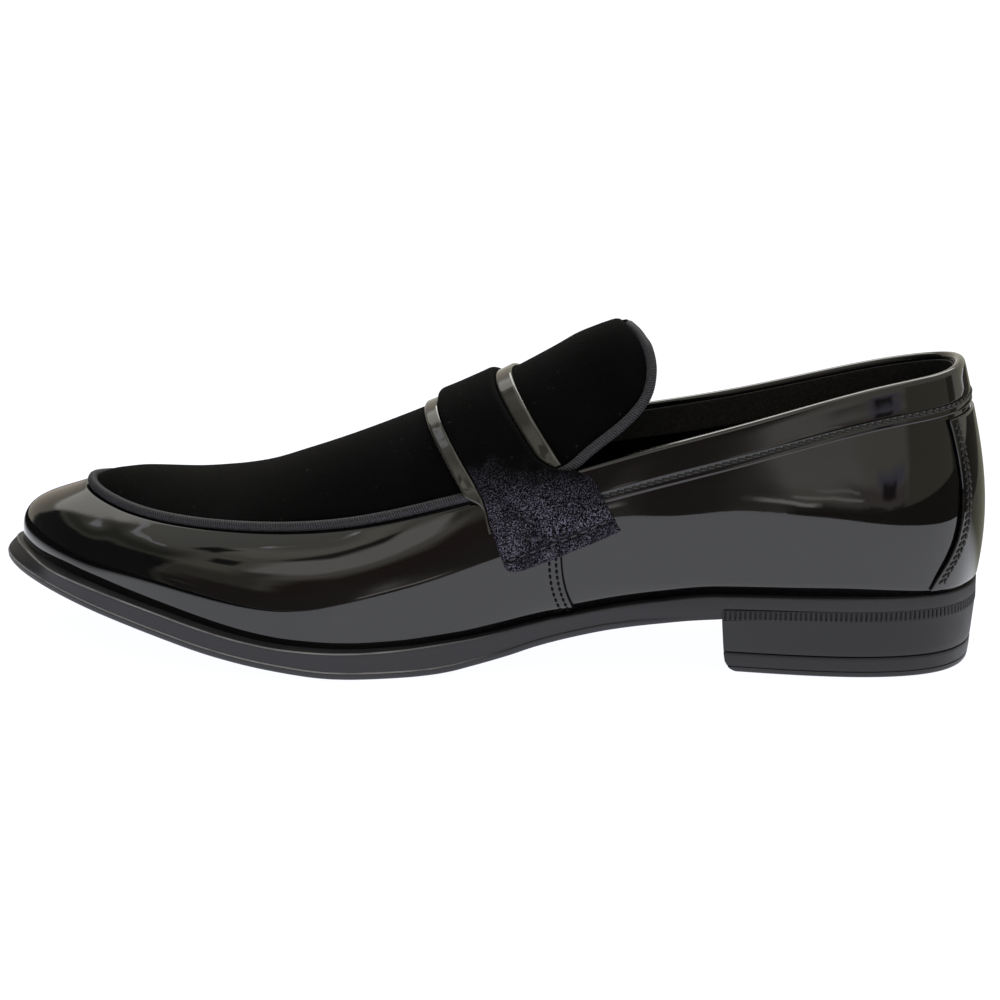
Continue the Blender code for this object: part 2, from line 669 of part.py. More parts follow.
class StrapForm:
    """The surface that the saddle strap lies on, by width across the strap and arc down from the crest."""

    def __init__(self):
        lean = math.radians(STRAP_LEAN)
        self.ahead = np.array([math.cos(lean), 0, -math.sin(lean)])
        self.down = np.array([-math.sin(lean), 0, -math.cos(lean)])
        self.middle = np.array([STRAP_STATION, 0, STRAP_HEIGHT])
        self.widths = np.linspace(FORM_REAR, FORM_FRONT, 24)
        self.arcs = np.linspace(-FORM_ARC, FORM_ARC, 81)
        trees = [self.tree(*self.fine_upper()), self.tree(*apron_surface())]
        base = np.stack([self.slice(width, trees) for width in self.widths])
        self.points = base
        self.outward = self.normals(base)
        self.lift = self.lift_over_edges()

    @staticmethod
    def tree(points, faces):
        return BVHTree.FromPolygons([tuple(p) for p in points], faces)

    @staticmethod
    def fine_upper():
        places = np.arange(SECTION_COUNT * 6) / 6
        levels = np.linspace(0, 1, 17)
        points = np.stack([upper_points(places, np.full(places.shape, row)) for row in levels], axis=1)
        return points.reshape(-1, 3), grid_faces(len(places), len(levels), closed=True)

    def slice(self, width, trees):
        """One line across the instep: rays fanned out in a plane, evened out and cut at equal arcs."""
        centre = self.middle + self.ahead * width + self.down * FORM_DEPTH
        turns = np.radians(np.linspace(-FORM_FAN, FORM_FAN, STRAP_RAYS))
        rays = -np.cos(turns)[:, None] * self.down + np.sin(turns)[:, None] * np.array([0, 1.0, 0])
        reach = np.full(turns.shape, np.nan)
        for i, ray in enumerate(rays):
            hits = [tree.ray_cast(Vector(centre), Vector(ray))[3] for tree in trees]
            hits = [hit for hit in hits if hit is not None]
            if hits:
                reach[i] = max(hits)
        good = np.isfinite(reach)
        reach = np.interp(turns, turns[good], reach[good])
        kernel = np.hanning(STRAP_RAYS_EVENED)
        padded = np.pad(reach, STRAP_RAYS_EVENED // 2, mode="edge")
        reach = np.convolve(padded, kernel / kernel.sum(), mode="valid")
        line = centre + rays * reach[:, None]
        run = np.concatenate([[0], np.cumsum(np.linalg.norm(np.diff(line, axis=0), axis=1))])
        run -= np.interp(0, turns, run)
        arcs = np.clip(self.arcs, run[0], run[-1])
        past = (self.arcs - arcs)[:, None] * self.down * np.sign(self.arcs)[:, None]
        return np.column_stack([np.interp(arcs, run, line[:, axis]) for axis in range(3)]) + past

    @staticmethod
    def normals(grid):
        outward = np.cross(np.gradient(grid, axis=0), np.gradient(grid, axis=1))
        outward /= np.linalg.norm(outward, axis=2, keepdims=True)
        return outward * np.sign(outward[len(grid) // 2, grid.shape[1] // 2, 2])

    def lift_over_edges(self):
        """How far the strap's underside stands off the form: a little, and more over the piping and the
        collar band's ends."""
        line = piping_line()
        raised = [(place, PIPING_RADIUS) for place in (*line, *(line + np.roll(line, -1, 0)) / 2)]
        reach = np.linspace(BAND_REACH - 1.2, BAND_REACH, 9)
        for place in (*reach, *-reach):
            where = np.full(6, place)
            drops = np.linspace(-FIT_GAP - BAND_THICK, BAND_HEIGHT, 6)
            points, outward, _ = upper_frames(where, level_below_edge(where, np.maximum(drops, 0)))
            raised += [(point, 0.0) for point in points + outward * (FIT_GAP + BAND_THICK)]
        lift = np.full(self.points.shape[:2], STRAP_CLEARANCE)
        for place, radius in raised:
            away = place - self.points
            above = np.sum(away * self.outward, axis=2)
            beside = np.sum(away * away, axis=2) - above**2
            rise = np.maximum(above + radius + SWELL_GAP - STRAP_CLEARANCE, 0)
            lift = np.maximum(lift, STRAP_CLEARANCE + rise * np.exp(-beside / SWELL_WIDTH**2))
        return lift

    def at(self, width, arc, rise):
        """Points over the form at a rise above the strap's underside; width and arc are arrays."""
        i = np.clip(np.searchsorted(self.widths, width) - 1, 0, len(self.widths) - 2)
        j = np.clip(np.searchsorted(self.arcs, arc) - 1, 0, len(self.arcs) - 2)
        a = ((width - self.widths[i]) / (self.widths[i + 1] - self.widths[i]))[:, None]
        b = ((arc - self.arcs[j]) / (self.arcs[j + 1] - self.arcs[j]))[:, None]

        def mix(table):
            low = table[i, j] * (1 - a) + table[i + 1, j] * a
            high = table[i, j + 1] * (1 - a) + table[i + 1, j + 1] * a
            return low * (1 - b) + high * b

        lift = mix(self.lift[..., None])
        return mix(self.points) + mix(self.outward) * (lift + np.reshape(rise, (-1, 1)))


def strap_pieces():
    """The velvet saddle strap and the patent strip along its front and its rear edge."""
    form = StrapForm()
    arcs = [row.arc for row in STRAP_ROWS]
    front_at = profile_curve(arcs, [row.front for row in STRAP_ROWS])
    rear_at = profile_curve(arcs, [row.rear for row in STRAP_ROWS])
    rise_at = profile_curve(arcs, [row.rise for row in STRAP_ROWS])

    def layers(stations, front, rear, rise, cross):
        across, pillow = np.array(cross).T
        outer, inner = [], []
        for arc in stations:
            low, high = front(abs(arc)), rear(abs(arc))
            width = low + (high - low) * across
            place = np.full(width.shape, arc)
            outer.append(form.at(width, place, rise(abs(arc)) * pillow))
            inner.append(form.at(width, place, 0 * width))
        return np.stack(outer), np.stack(inner)

    half = np.concatenate([np.linspace(0, 40, 13), np.linspace(43, 54, 5), np.linspace(58, arcs[-1], 5)])
    both = np.concatenate([-half[:0:-1], half])
    strap = slab("saddle_strap", *layers(both, front_at, rear_at, rise_at, STRAP_CROSS))

    def trim(name, end, edge, beside):
        stations = np.concatenate([np.linspace(0, end - 8, 11), end - np.array([5, 2.4, 0])])
        stations = np.concatenate([-stations[:0:-1], stations])
        return slab(name, *layers(stations, lambda arc: edge, beside, lambda arc: TRIM_THICK, TRIM_CROSS))

    def beside_front(arc):
        return min(front_at(arc) + FIT_GAP, TRIM_FRONT - 0.6)

    def beside_rear(arc):
        return max(rear_at(arc) - FIT_GAP, TRIM_REAR + 0.6)

    front = trim("strap_trim_front", TRIM_FRONT_ARC, TRIM_FRONT, beside_front)
    rear = trim("strap_trim_rear", TRIM_REAR_ARC, TRIM_REAR, beside_rear)
    return strap, front, rear


def add_tube(name, line, radius, material, collection):
    """A round cord that closes on itself."""
    curve = bpy.data.curves.new(name, "CURVE")
    curve.dimensions = "3D"
    curve.bevel_depth = radius * MM
    curve.bevel_resolution = 2
    spline = curve.splines.new("POLY")
    spline.points.add(len(line) - 1)
    for point, place in zip(spline.points, world(line)):
        point.co = (*place, 1)
    spline.use_cyclic_u = True
    return add_object(name, curve, material, collection)


def main():
    for thing in list(bpy.data.objects):
        bpy.data.objects.remove(thing)
    shoe = bpy.data.collections.new("saddle_loafer")
    bpy.context.scene.collection.children.link(shoe)
    rubber = paint("sole_rubber", (0.020, 0.020, 0.022), 0.45)
    patent = paint("patent_leather", (0.006, 0.006, 0.007), 0.06)
    velvet = paint("velvet", (0.004, 0.004, 0.005), 0.9)
    ribbon = paint("grosgrain", (0.020, 0.021, 0.026), 0.7)
    lining = paint("lining", (0.010, 0.010, 0.011), 0.7)
    add_object("outsole", outsole(), rubber, shoe)
    add_object("heel_block", heel_block(), rubber, shoe)
    add_object("top_lift", top_lift(), rubber, shoe)
    add_object("insole", insole(), lining, shoe)
    add_shell("upper", mesh_of("upper", *upper_surface()), UPPER_WALL, patent, shoe)
    add_shell("apron_tongue", mesh_of("apron_tongue", *apron_surface()), APRON_WALL, velvet, shoe)
    add_tube("apron_piping", piping_line(), PIPING_RADIUS, ribbon, shoe)
    add_object("collar_band", collar_band(), patent, shoe)
    add_object("backstay", backstay(), patent, shoe)
    strap, trim_front, trim_rear = strap_pieces()
    add_object("saddle_strap", strap, velvet, shoe)
    add_object("strap_trim_front", trim_front, patent, shoe)
    add_object("strap_trim_rear", trim_rear, patent, shoe)


if __name__ == "__main__":
    main()
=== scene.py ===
import math

import bpy
import numpy as np
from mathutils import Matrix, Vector, noise
from mathutils.bvhtree import BVHTree


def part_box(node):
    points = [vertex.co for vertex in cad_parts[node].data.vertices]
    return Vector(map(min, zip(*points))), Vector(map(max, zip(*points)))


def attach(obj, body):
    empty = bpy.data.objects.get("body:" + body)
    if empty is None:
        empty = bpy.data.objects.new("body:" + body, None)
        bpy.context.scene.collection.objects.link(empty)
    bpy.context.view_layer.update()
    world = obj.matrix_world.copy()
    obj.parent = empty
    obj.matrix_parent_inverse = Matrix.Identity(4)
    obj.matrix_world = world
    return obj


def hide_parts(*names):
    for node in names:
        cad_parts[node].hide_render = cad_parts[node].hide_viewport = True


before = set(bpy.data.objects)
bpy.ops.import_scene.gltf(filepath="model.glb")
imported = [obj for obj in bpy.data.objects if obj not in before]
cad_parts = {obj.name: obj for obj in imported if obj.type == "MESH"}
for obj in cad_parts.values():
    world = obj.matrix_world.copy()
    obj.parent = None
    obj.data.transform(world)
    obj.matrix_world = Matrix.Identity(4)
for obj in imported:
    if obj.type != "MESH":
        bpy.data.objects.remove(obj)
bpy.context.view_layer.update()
print("frame loaded:", len(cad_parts), "nodes")

# the last, in millimetres: station forward of the sole's heel end, side towards the inner ankle, height
last = {
    "heelEnd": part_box("outsole")[1].x * 1000,
    "sideCentre": -1.4,
    "gap": 0.3,
    "wall": 2.0,
    # once round the foot from the back by the outer side: foot station and side, edge station, side and
    # height, lean in degrees and pull of the wall at the foot, then at the edge
    "sections": [
        (0, 0, 7.8, 0, 92.0, 10, 0.38, 14, 0.38),  # back
        (9, -22.5, 14, -16.5, 90.4, 15, 0.36, 12, 0.36),
        (36, -33, 36, -25.5, 86.4, 18, 0.35, 9, 0.35),
        (73, -33.8, 69, -30.0, 77.1, 22, 0.35, 10, 0.35),
        (107, -33.8, 99, -32.2, 68.5, 28, 0.35, 10, 0.35),
        (139, -37.8, 125, -34.0, 60.6, 24, 0.35, 16, 0.35),  # outer throat
        (169, -46, 159, -33.5, 50.6, 14, 0.36, 36, 0.36),
        (199, -52.5, 191, -34.2, 43.2, 12, 0.38, 50, 0.40),
        (229, -49.5, 223, -32.5, 40.8, 12, 0.40, 55, 0.40),
        (257, -40, 251, -25.0, 41.2, 12, 0.42, 58, 0.42),
        (281.5, -27.8, 269, -13.5, 43.0, 10, 0.45, 62, 0.45),
        (299.5, -12.5, 278, -4.5, 45.2, 8, 0.48, 65, 0.45),
        (308.5, 4, 280.8, 4, 46.2, 6, 0.48, 66, 0.42),  # tip
        (303, 18.5, 278.6, 12, 45.4, 8, 0.48, 65, 0.45),
        (287, 31.5, 270.5, 20.5, 43.8, 10, 0.45, 62, 0.45),
        (263, 41, 253, 29, 42.2, 12, 0.42, 58, 0.42),
        (236, 48.5, 225, 34, 42.0, 12, 0.40, 55, 0.40),
        (206, 48.5, 193, 35, 44.6, 12, 0.38, 50, 0.40),
        (173, 38, 161, 34, 51.8, 18, 0.36, 36, 0.36),
        (139, 29, 127, 34.3, 62.8, 26, 0.35, 16, 0.35),  # inner throat
        (107, 28.5, 99, 33.3, 68.9, 26, 0.35, 8, 0.35),
        (73, 32, 69, 30.3, 75.6, 16, 0.35, 8, 0.35),
        (36, 33, 36, 25.5, 84.6, 14, 0.35, 11, 0.35),
        (9, 22.5, 14, 16.5, 90.0, 14, 0.36, 13, 0.36),
    ],
    "throat": 5,  # index of the outer throat; the inner one mirrors it
    # station, underside, top, ledge outside the upper
    "sole": [
        (0, 19.4, 25.4, 1.4),
        (40, 19.2, 25.5, 1.6),
        (78, 17.8, 25.0, 1.8),
        (98, 15.4, 22.6, 2.0),
        (111, 13.3, 20.4, 2.0),
        (122, 10.9, 18.1, 2.1),
        (128, 9.4, 17.0, 2.2),
        (134, 7.7, 15.5, 2.4),
        (140, 5.7, 14.0, 2.6),
        (146, 4.0, 12.6, 2.9),
        (152, 2.5, 11.4, 3.2),
        (158, 1.15, 10.6, 3.5),
        (164, 0.4, 9.9, 3.8),
        (171, 0.05, 9.2, 4.1),
        (178, 0.0, 8.8, 4.4),
        (185, 0.05, 8.6, 4.6),
        (192, 0.3, 8.7, 4.8),
        (198, 0.8, 9.0, 4.9),
        (204, 1.55, 9.4, 5.0),
        (210, 2.35, 9.9, 5.0),
        (216, 3.15, 10.7, 5.0),
        (222, 4.05, 11.6, 5.0),
        (232, 5.7, 13.4, 5.0),
        (248, 8.9, 16.7, 4.8),
        (268, 12.9, 20.4, 4.6),
        (288, 17.0, 23.8, 4.8),
        (308.5, 20.6, 27.6, 5.2),
    ],
}


# curves through the tables
def closedCurve(values, byLength=False):
    values = np.asarray(values, float)
    count = len(values)
    runs = np.roll(values, -1, 0) - values
    spans = np.linalg.norm(runs, axis=1) if byLength else np.ones(count)
    before = np.roll(spans, 1)
    rises = runs / spans[:, None]
    unit = np.eye(count)
    system = 2 * np.diag(before + spans)
    system += np.roll(unit, -1, axis=1) * before[:, None] + np.roll(unit, 1, axis=1) * spans[:, None]
    bend = np.linalg.solve(system, 6 * (rises - np.roll(rises, 1, 0)))

    def at(where):
        where = np.asarray(where, float) % count
        low = np.floor(where).astype(int) % count
        high = (low + 1) % count
        share = (where - np.floor(where))[..., None]
        rest = 1 - share
        bow = (rest**3 - rest) * bend[low] + (share**3 - share) * bend[high]
        return rest * values[low] + share * values[high] + bow * spans[low][..., None] ** 2 / 6

    return at


def profileCurve(rows, column):
    stations = np.array([row[0] for row in rows], float)
    heights = np.array([row[column] for row in rows], float)
    steps = np.diff(stations)
    rises = np.diff(heights) / steps
    slopes = np.concatenate([[rises[0]], np.zeros(len(rises) - 1), [rises[-1]]])
    for i in range(1, len(rises)):
        if rises[i - 1] * rises[i] > 0:
            before, after = 2 * steps[i] + steps[i - 1], steps[i] + 2 * steps[i - 1]
            slopes[i] = (before + after) / (before / rises[i - 1] + after / rises[i])

    def at(station):
        station = np.clip(np.asarray(station, float), stations[0], stations[-1])
        i = np.clip(np.searchsorted(stations, station, side="right") - 1, 0, len(steps) - 1)
        share = (station - stations[i]) / steps[i]
        start = (1 + 2 * share) * (1 - share) ** 2 * heights[i] + share**2 * (3 - 2 * share) * heights[i + 1]
        turn = share * (1 - share) ** 2 * slopes[i] - share**2 * (1 - share) * slopes[i + 1]
        return start + turn * steps[i]

    return at


def easeStep(low, high, value):
    share = np.clip((np.asarray(value, float) - low) / (high - low), 0, 1)
    return share * share * (3 - 2 * share)


def unitRows(rows):
    return rows / np.linalg.norm(rows, axis=-1, keepdims=True)


def runLength(line):
    return np.concatenate([[0], np.cumsum(np.linalg.norm(np.diff(line, axis=0), axis=1))])


def alongLine(spots, run, line):
    return np.column_stack([np.interp(spots, run, line[:, axis]) for axis in range(3)])


sectionCount = len(last["sections"])
sectionTable = np.array(last["sections"], float)
outlineAt = closedCurve(sectionTable[:, 0:2])
edgeAt = closedCurve(sectionTable[:, 2:5])
bowAt = closedCurve(sectionTable[:, 5:9])
underAt = profileCurve(last["sole"], 1)
topAt = profileCurve(last["sole"], 2)
ledgeAt = profileCurve(last["sole"], 3)


def insetOutline(where, inset):
    step = 0.01
    along = outlineAt(where + step) - outlineAt(where - step)
    inward = unitRows(np.stack([-along[:, 1], along[:, 0]], axis=1))
    return outlineAt(where) + inward * np.reshape(inset, (-1, 1)), inward


def upperPoints(where, level):
    where = np.asarray(where, float)
    level = np.reshape(level, (-1, 1))
    plan, inward = insetOutline(where, ledgeAt(outlineAt(where)[:, 0]))
    foot = np.column_stack([plan, topAt(plan[:, 0]) + last["gap"]])
    edge = edgeAt(where)
    footLean, footPull, edgeLean, edgePull = bowAt(where).T
    chord = np.linalg.norm(edge - foot, axis=1)

    def handle(lean, pull):
        lean = np.radians(lean)
        return np.column_stack([inward * np.sin(lean)[:, None], np.cos(lean)]) * (pull * chord)[:, None]

    first = foot + handle(-footLean, footPull)
    second = edge - handle(edgeLean, edgePull)
    rest = 1 - level
    return rest**3 * foot + 3 * rest**2 * level * first + 3 * rest * level**2 * second + level**3 * edge


def upperFrames(where, level):
    where = np.asarray(where, float)
    level = np.broadcast_to(np.asarray(level, float), where.shape)
    step = 1e-3
    points = upperPoints(where, level)
    up = upperPoints(where, level + step) - upperPoints(where, level - step)
    around = upperPoints(where + step, level) - upperPoints(where - step, level)
    return points, unitRows(np.cross(around, up)), unitRows(up)


# the level that lies a distance down the wall from its top edge, looked up on a fine grid
dropSteps = 8  # places for each section
dropPlaces = np.linspace(0, sectionCount, sectionCount * dropSteps + 1)
dropLevels = np.linspace(0, 1, 60)
dropTable = []
for dropPlace in dropPlaces:
    dropWall = upperPoints(np.full(dropLevels.shape, dropPlace), dropLevels)
    dropRun = runLength(dropWall)
    dropTable.append(dropRun[-1] - dropRun)
dropTable = np.array(dropTable)


def levelBelowEdge(where, drop):
    where = np.asarray(where, float) % sectionCount
    drop = np.broadcast_to(np.asarray(drop, float), where.shape)
    index = where * dropSteps
    low = np.clip(np.floor(index).astype(int), 0, len(dropPlaces) - 2)
    share = index - low
    found = np.empty(where.shape)
    for i in range(len(where)):
        run = dropTable[low[i]] * (1 - share[i]) + dropTable[low[i] + 1] * share[i]
        found[i] = np.interp(drop[i], run[::-1], dropLevels[::-1])
    return found


# making pieces
def toFrame(points):
    points = np.asarray(points, float)
    x = last["heelEnd"] - points[..., 0]
    y = points[..., 1] - last["sideCentre"]
    return np.stack([x, y, points[..., 2]], axis=-1) / 1000


def pickOnly(piece):
    bpy.ops.object.select_all(action="DESELECT")
    piece.select_set(True)
    bpy.context.view_layer.objects.active = piece


def setPoints(piece, points):
    piece.data.vertices.foreach_set("co", np.asarray(points, np.float32).ravel())
    piece.data.update()


def getPoints(piece):
    points = np.empty(len(piece.data.vertices) * 3, np.float32)
    piece.data.vertices.foreach_get("co", points)
    return points.reshape(-1, 3).astype(float)


# a grid whose rows run up a piece and whose columns run along it; place gives shoe points for both indexes
def gridPiece(name, rows, columns, place, fillEnds=False):
    bpy.ops.object.select_all(action="DESELECT")
    bpy.ops.mesh.primitive_grid_add(x_subdivisions=rows - 1, y_subdivisions=columns - 1, size=2)
    piece = bpy.context.object
    piece.name = piece.data.name = name
    flat = getPoints(piece)
    row = np.rint((flat[:, 0] + 1) / 2 * (rows - 1)).astype(int)
    column = np.rint((flat[:, 1] + 1) / 2 * (columns - 1)).astype(int)
    setPoints(piece, toFrame(place(row, column)))
    bpy.ops.object.mode_set(mode="EDIT")
    bpy.ops.mesh.select_all(action="SELECT")
    bpy.ops.mesh.remove_doubles(threshold=0.00001)
    if fillEnds:
        bpy.ops.mesh.fill_holes(sides=0)
        bpy.ops.mesh.select_all(action="SELECT")
        bpy.ops.mesh.normals_make_consistent(inside=False)
    bpy.ops.object.mode_set(mode="OBJECT")
    return piece


# a closed piece from rings of points, one above the other
def ringPiece(name, rings):
    count = rings.shape[1]

    def place(row, column):
        return rings[row, column % count]

    return gridPiece(name, len(rings), count + 1, place, fillEnds=True)


def applyModifier(piece, kind, **settings):
    pickOnly(piece)
    modifier = piece.modifiers.new(kind.title(), kind)
    for key, value in settings.items():
        setattr(modifier, key, value)
    bpy.ops.object.modifier_apply(modifier=modifier.name)


def addWall(piece, thickness, **settings):
    applyModifier(piece, "SOLIDIFY", thickness=thickness / 1000, offset=-1, **settings)


def softenEdges(piece, width, segments=3, angle=50):
    applyModifier(
        piece, "BEVEL", width=width / 1000, segments=segments, limit_method="ANGLE",
        angle_limit=math.radians(angle), harden_normals=False,
    )


def finishPiece(piece, materials, standsFor=None, sharp=40):
    for material in materials if isinstance(materials, list) else [materials]:
        piece.data.materials.append(material)
    pickOnly(piece)
    bpy.ops.object.shade_smooth_by_angle(angle=math.radians(sharp))
    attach(piece, "root")
    if standsFor:
        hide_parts(standsFor)
    print("made", piece.name, len(piece.data.polygons), "faces")
    return piece


# ribs round the piping, shared by its mesh and its material
piping = {"radius": 1.5, "ribs": 600, "ribDepth": 0.22, "ribTurns": 3, "ringsPerRib": 5, "sides": 20}


# materials
def newMaterial(name):
    material = bpy.data.materials.new(name)
    material.use_nodes = True
    nodes = material.node_tree.nodes
    return material, nodes, nodes["Principled BSDF"]


def setShader(shader, **values):
    for key, value in values.items():
        shader.inputs[key.replace("_", " ")].default_value = value


def addNode(nodes, kind, **settings):
    node = nodes.new(kind)
    for key, value in settings.items():
        if key in node.inputs:
            node.inputs[key].default_value = value
        else:
            setattr(node, key, value)
    return node


# shared: fine relief of a surface, a noise of its own size put out as a height and a mask
def makeReliefGroup():
    group = bpy.data.node_groups.new("fineRelief", "ShaderNodeTree")
    for way, labels in (("INPUT", ("Size", "Detail", "Low", "High")), ("OUTPUT", ("Height", "Mask"))):
        for label in labels:
            group.interface.new_socket(label, in_out=way, socket_type="NodeSocketFloat")
    nodes = group.nodes
    inside = nodes.new("NodeGroupInput").outputs
    outside = nodes.new("NodeGroupOutput").inputs
    place = nodes.new("ShaderNodeTexCoord").outputs
    field = nodes.new("ShaderNodeTexNoise")
    spread = addNode(nodes, "ShaderNodeMapRange", clamp=True)
    for start, end in (
        (place["Object"], field.inputs["Vector"]),
        (inside["Size"], field.inputs["Scale"]),
        (inside["Detail"], field.inputs["Detail"]),
        (field.outputs["Fac"], outside["Height"]),
        (field.outputs["Fac"], spread.inputs["Value"]),
        (inside["Low"], spread.inputs["From Min"]),
        (inside["High"], spread.inputs["From Max"]),
        (spread.outputs["Result"], outside["Mask"]),
    ):
        group.links.new(start, end)
    return group


reliefGroup = makeReliefGroup()


def addRelief(nodes, size, detail=2.0, low=0.4, high=0.6):
    node = nodes.new("ShaderNodeGroup")
    node.node_tree = reliefGroup
    for label, value in (("Size", size), ("Detail", detail), ("Low", low), ("High", high)):
        node.inputs[label].default_value = value
    return node.outputs["Height"], node.outputs["Mask"]


def addBump(nodes, height, shader, distance, strength=1.0, after=None):
    links = nodes.id_data.links
    bump = addNode(nodes, "ShaderNodeBump", Strength=strength, Distance=distance)
    links.new(height, bump.inputs["Height"])
    if after:
        links.new(after.outputs["Normal"], bump.inputs["Normal"])
    links.new(bump.outputs["Normal"], shader.inputs["Normal"])
    return bump


# dark and light are colours, or the colour that another node puts out
def mixColours(nodes, mask, dark, light, target):
    links = nodes.id_data.links
    mix = nodes.new("ShaderNodeMix")
    mix.data_type = "RGBA"
    for socket, colour in ((mix.inputs[6], dark), (mix.inputs[7], light)):
        if isinstance(colour, tuple):
            socket.default_value = (*colour, 1)
        else:
            links.new(colour, socket)
    links.new(mask, mix.inputs[0])
    links.new(mix.outputs[2], target)
    return mix.outputs[2]


def mixValues(nodes, mask, low, high, target):
    links = nodes.id_data.links
    spread = nodes.new("ShaderNodeMapRange")
    spread.inputs["To Min"].default_value = low
    spread.inputs["To Max"].default_value = high
    links.new(mask, spread.inputs["Value"])
    links.new(spread.outputs["Result"], target)


def easeBetween(nodes, value, start, end, kind="SMOOTHSTEP"):
    ease = addNode(nodes, "ShaderNodeMapRange", interpolation_type=kind)
    ease.inputs["From Min"].default_value = start
    ease.inputs["From Max"].default_value = end
    nodes.id_data.links.new(value, ease.inputs["Value"])
    return ease.outputs["Result"]


def addMath(nodes, operation, *values):
    node = nodes.new("ShaderNodeMath")
    node.operation = operation
    for socket, value in zip(node.inputs, values):
        if isinstance(value, (int, float)):
            socket.default_value = value
        else:
            nodes.id_data.links.new(value, socket)
    return node.outputs[0]


def splitPlace(nodes, kind):
    place = nodes.new("ShaderNodeTexCoord")
    split = nodes.new("ShaderNodeSeparateXYZ")
    nodes.id_data.links.new(place.outputs[kind], split.inputs["Vector"])
    return split.outputs


def patentMaterial(name, dark, light):
    material, nodes, shader = newMaterial(name)
    setShader(shader, IOR=1.38, Coat_Weight=1.0, Coat_Roughness=0.015, Coat_IOR=1.5)
    smear = addRelief(nodes, 38, 3, 0.35, 0.7)[1]
    mixColours(nodes, smear, dark, light, shader.inputs["Base Color"])
    mixValues(nodes, smear, 0.025, 0.06, shader.inputs["Roughness"])
    swell = addRelief(nodes, 26, 1)[0]
    grain = addRelief(nodes, 900, 2)[0]
    soft = addBump(nodes, swell, shader, 0.0006, 0.35)
    addBump(nodes, grain, shader, 0.00002, 0.25, after=soft)
    return material


# heights in metres between which the painted glint of light on the tabs' pile fades out up the strap
tabGlint = {"none": 0.07, "full": 0.053, "waver": 0.006}


def velvetMaterial(name, tabbed):
    material, nodes, shader = newMaterial(name)
    setShader(shader, Roughness=0.95, Sheen_Weight=0.012, Sheen_Roughness=0.45)
    setShader(shader, Sheen_Tint=(0.55, 0.55, 0.68, 1), Specular_IOR_Level=0.1)
    target = shader.inputs["Base Color"]
    pile = addRelief(nodes, 2600, 2)[0]
    brushed = addRelief(nodes, 60, 3, 0.4, 0.65)[1]
    tone = mixColours(nodes, brushed, (0.0009, 0.001, 0.0012), (0.002, 0.0021, 0.0025), target)
    speck = addRelief(nodes, 420, 1, 0.74, 0.77)[1]
    lint = mixColours(nodes, speck, tone, (0.012, 0.012, 0.013), target)
    if not tabbed:
        addBump(nodes, pile, shader, 0.0003, 0.7)
        return material
    # painted glint: specks of the tabs' pile painted pale where light catches it, brighter in patches and
    # fading out up the strap
    glintPatches = addRelief(nodes, 130, 3, 0.38, 0.62)[1]
    height = addMath(nodes, "MULTIPLY_ADD", glintPatches, tabGlint["waver"], splitPlace(nodes, "Object")["Z"])
    low = easeBetween(nodes, height, tabGlint["none"], tabGlint["full"])
    glint, glintMask = addRelief(nodes, 2500, 2, 0.47, 0.69)
    patchy = addMath(nodes, "MULTIPLY_ADD", glintPatches, 0.7, 0.45)
    fade = addMath(nodes, "MULTIPLY", low, patchy)
    sparkle = addMath(nodes, "MULTIPLY", glintMask, fade)
    mixColours(nodes, sparkle, lint, (0.23, 0.216, 0.295), target)
    coarse = addBump(nodes, glint, shader, 0.0003, 0.6)
    addBump(nodes, pile, shader, 0.0002, 0.5, after=coarse)
    return material


def ribbonMaterial():
    material, nodes, shader = newMaterial("ribbed_ribbon")
    setShader(shader, Roughness=0.6, Sheen_Weight=0.15, Sheen_Roughness=0.4, Specular_IOR_Level=0.3)
    setShader(shader, Sheen_Tint=(0.7, 0.72, 0.85, 1))
    place = splitPlace(nodes, "UV")
    # rib crests painted pale and the hollows between them dark: painted highlight and shade on the ribs,
    # broken up by the yarn
    along = addMath(nodes, "MULTIPLY", place["Y"], piping["ribs"] * math.pi)
    around = addMath(nodes, "MULTIPLY", place["X"], piping["ribTurns"] * math.pi)
    wave = addMath(nodes, "SINE", addMath(nodes, "ADD", along, around))
    ribCrestLight = addMath(nodes, "ABSOLUTE", wave)
    yarn, yarnMask = addRelief(nodes, 2600, 2, 0.35, 0.7)
    mask = addMath(nodes, "MULTIPLY", ribCrestLight, addMath(nodes, "MULTIPLY_ADD", yarnMask, 0.7, 0.3))
    mixColours(nodes, mask, (0.003, 0.003, 0.004), (0.105, 0.104, 0.122), shader.inputs["Base Color"])
    addBump(nodes, yarn, shader, 0.00015, 0.6)
    return material


# lines: painted highlight stripes across the piece's rows, as middle, half width and how pale
def rubberMaterial(name, dark, light, lines=()):
    material, nodes, shader = newMaterial(name)
    setShader(shader, Specular_IOR_Level=0.45)
    cloud = addRelief(nodes, 55, 4, 0.35, 0.7)[1]
    tone = mixColours(nodes, cloud, dark, light, shader.inputs["Base Color"])
    mixValues(nodes, cloud, 0.4, 0.55, shader.inputs["Roughness"])
    if lines:
        across = splitPlace(nodes, "UV")["X"]
        shine = 0.0
        for middle, half, pale in lines:
            away = addMath(nodes, "ABSOLUTE", addMath(nodes, "SUBTRACT", across, middle))
            line = addMath(nodes, "MULTIPLY", addMath(nodes, "LESS_THAN", away, half), pale)
            shine = addMath(nodes, "MAXIMUM", shine, line)
        shineBreakup = addRelief(nodes, 90, 3, 0.3, 0.6)[1]
        patchy = addMath(nodes, "MULTIPLY_ADD", shineBreakup, 0.6, 0.4)
        forward = splitPlace(nodes, "Object")["X"]
        fore = easeBetween(nodes, forward, sole["paintedShineEnd"], sole["paintedShineFull"], "LINEAR")
        shine = addMath(nodes, "MULTIPLY", addMath(nodes, "MULTIPLY", shine, patchy), fore)
        # the painted highlights go over the rubber's own tone, in patches, fading out along the waist
        mixColours(nodes, shine, tone, (0.34, 0.34, 0.35), shader.inputs["Base Color"])
    pebble = addRelief(nodes, 1500, 3)[0]
    addBump(nodes, pebble, shader, 0.00008, 0.5)
    return material


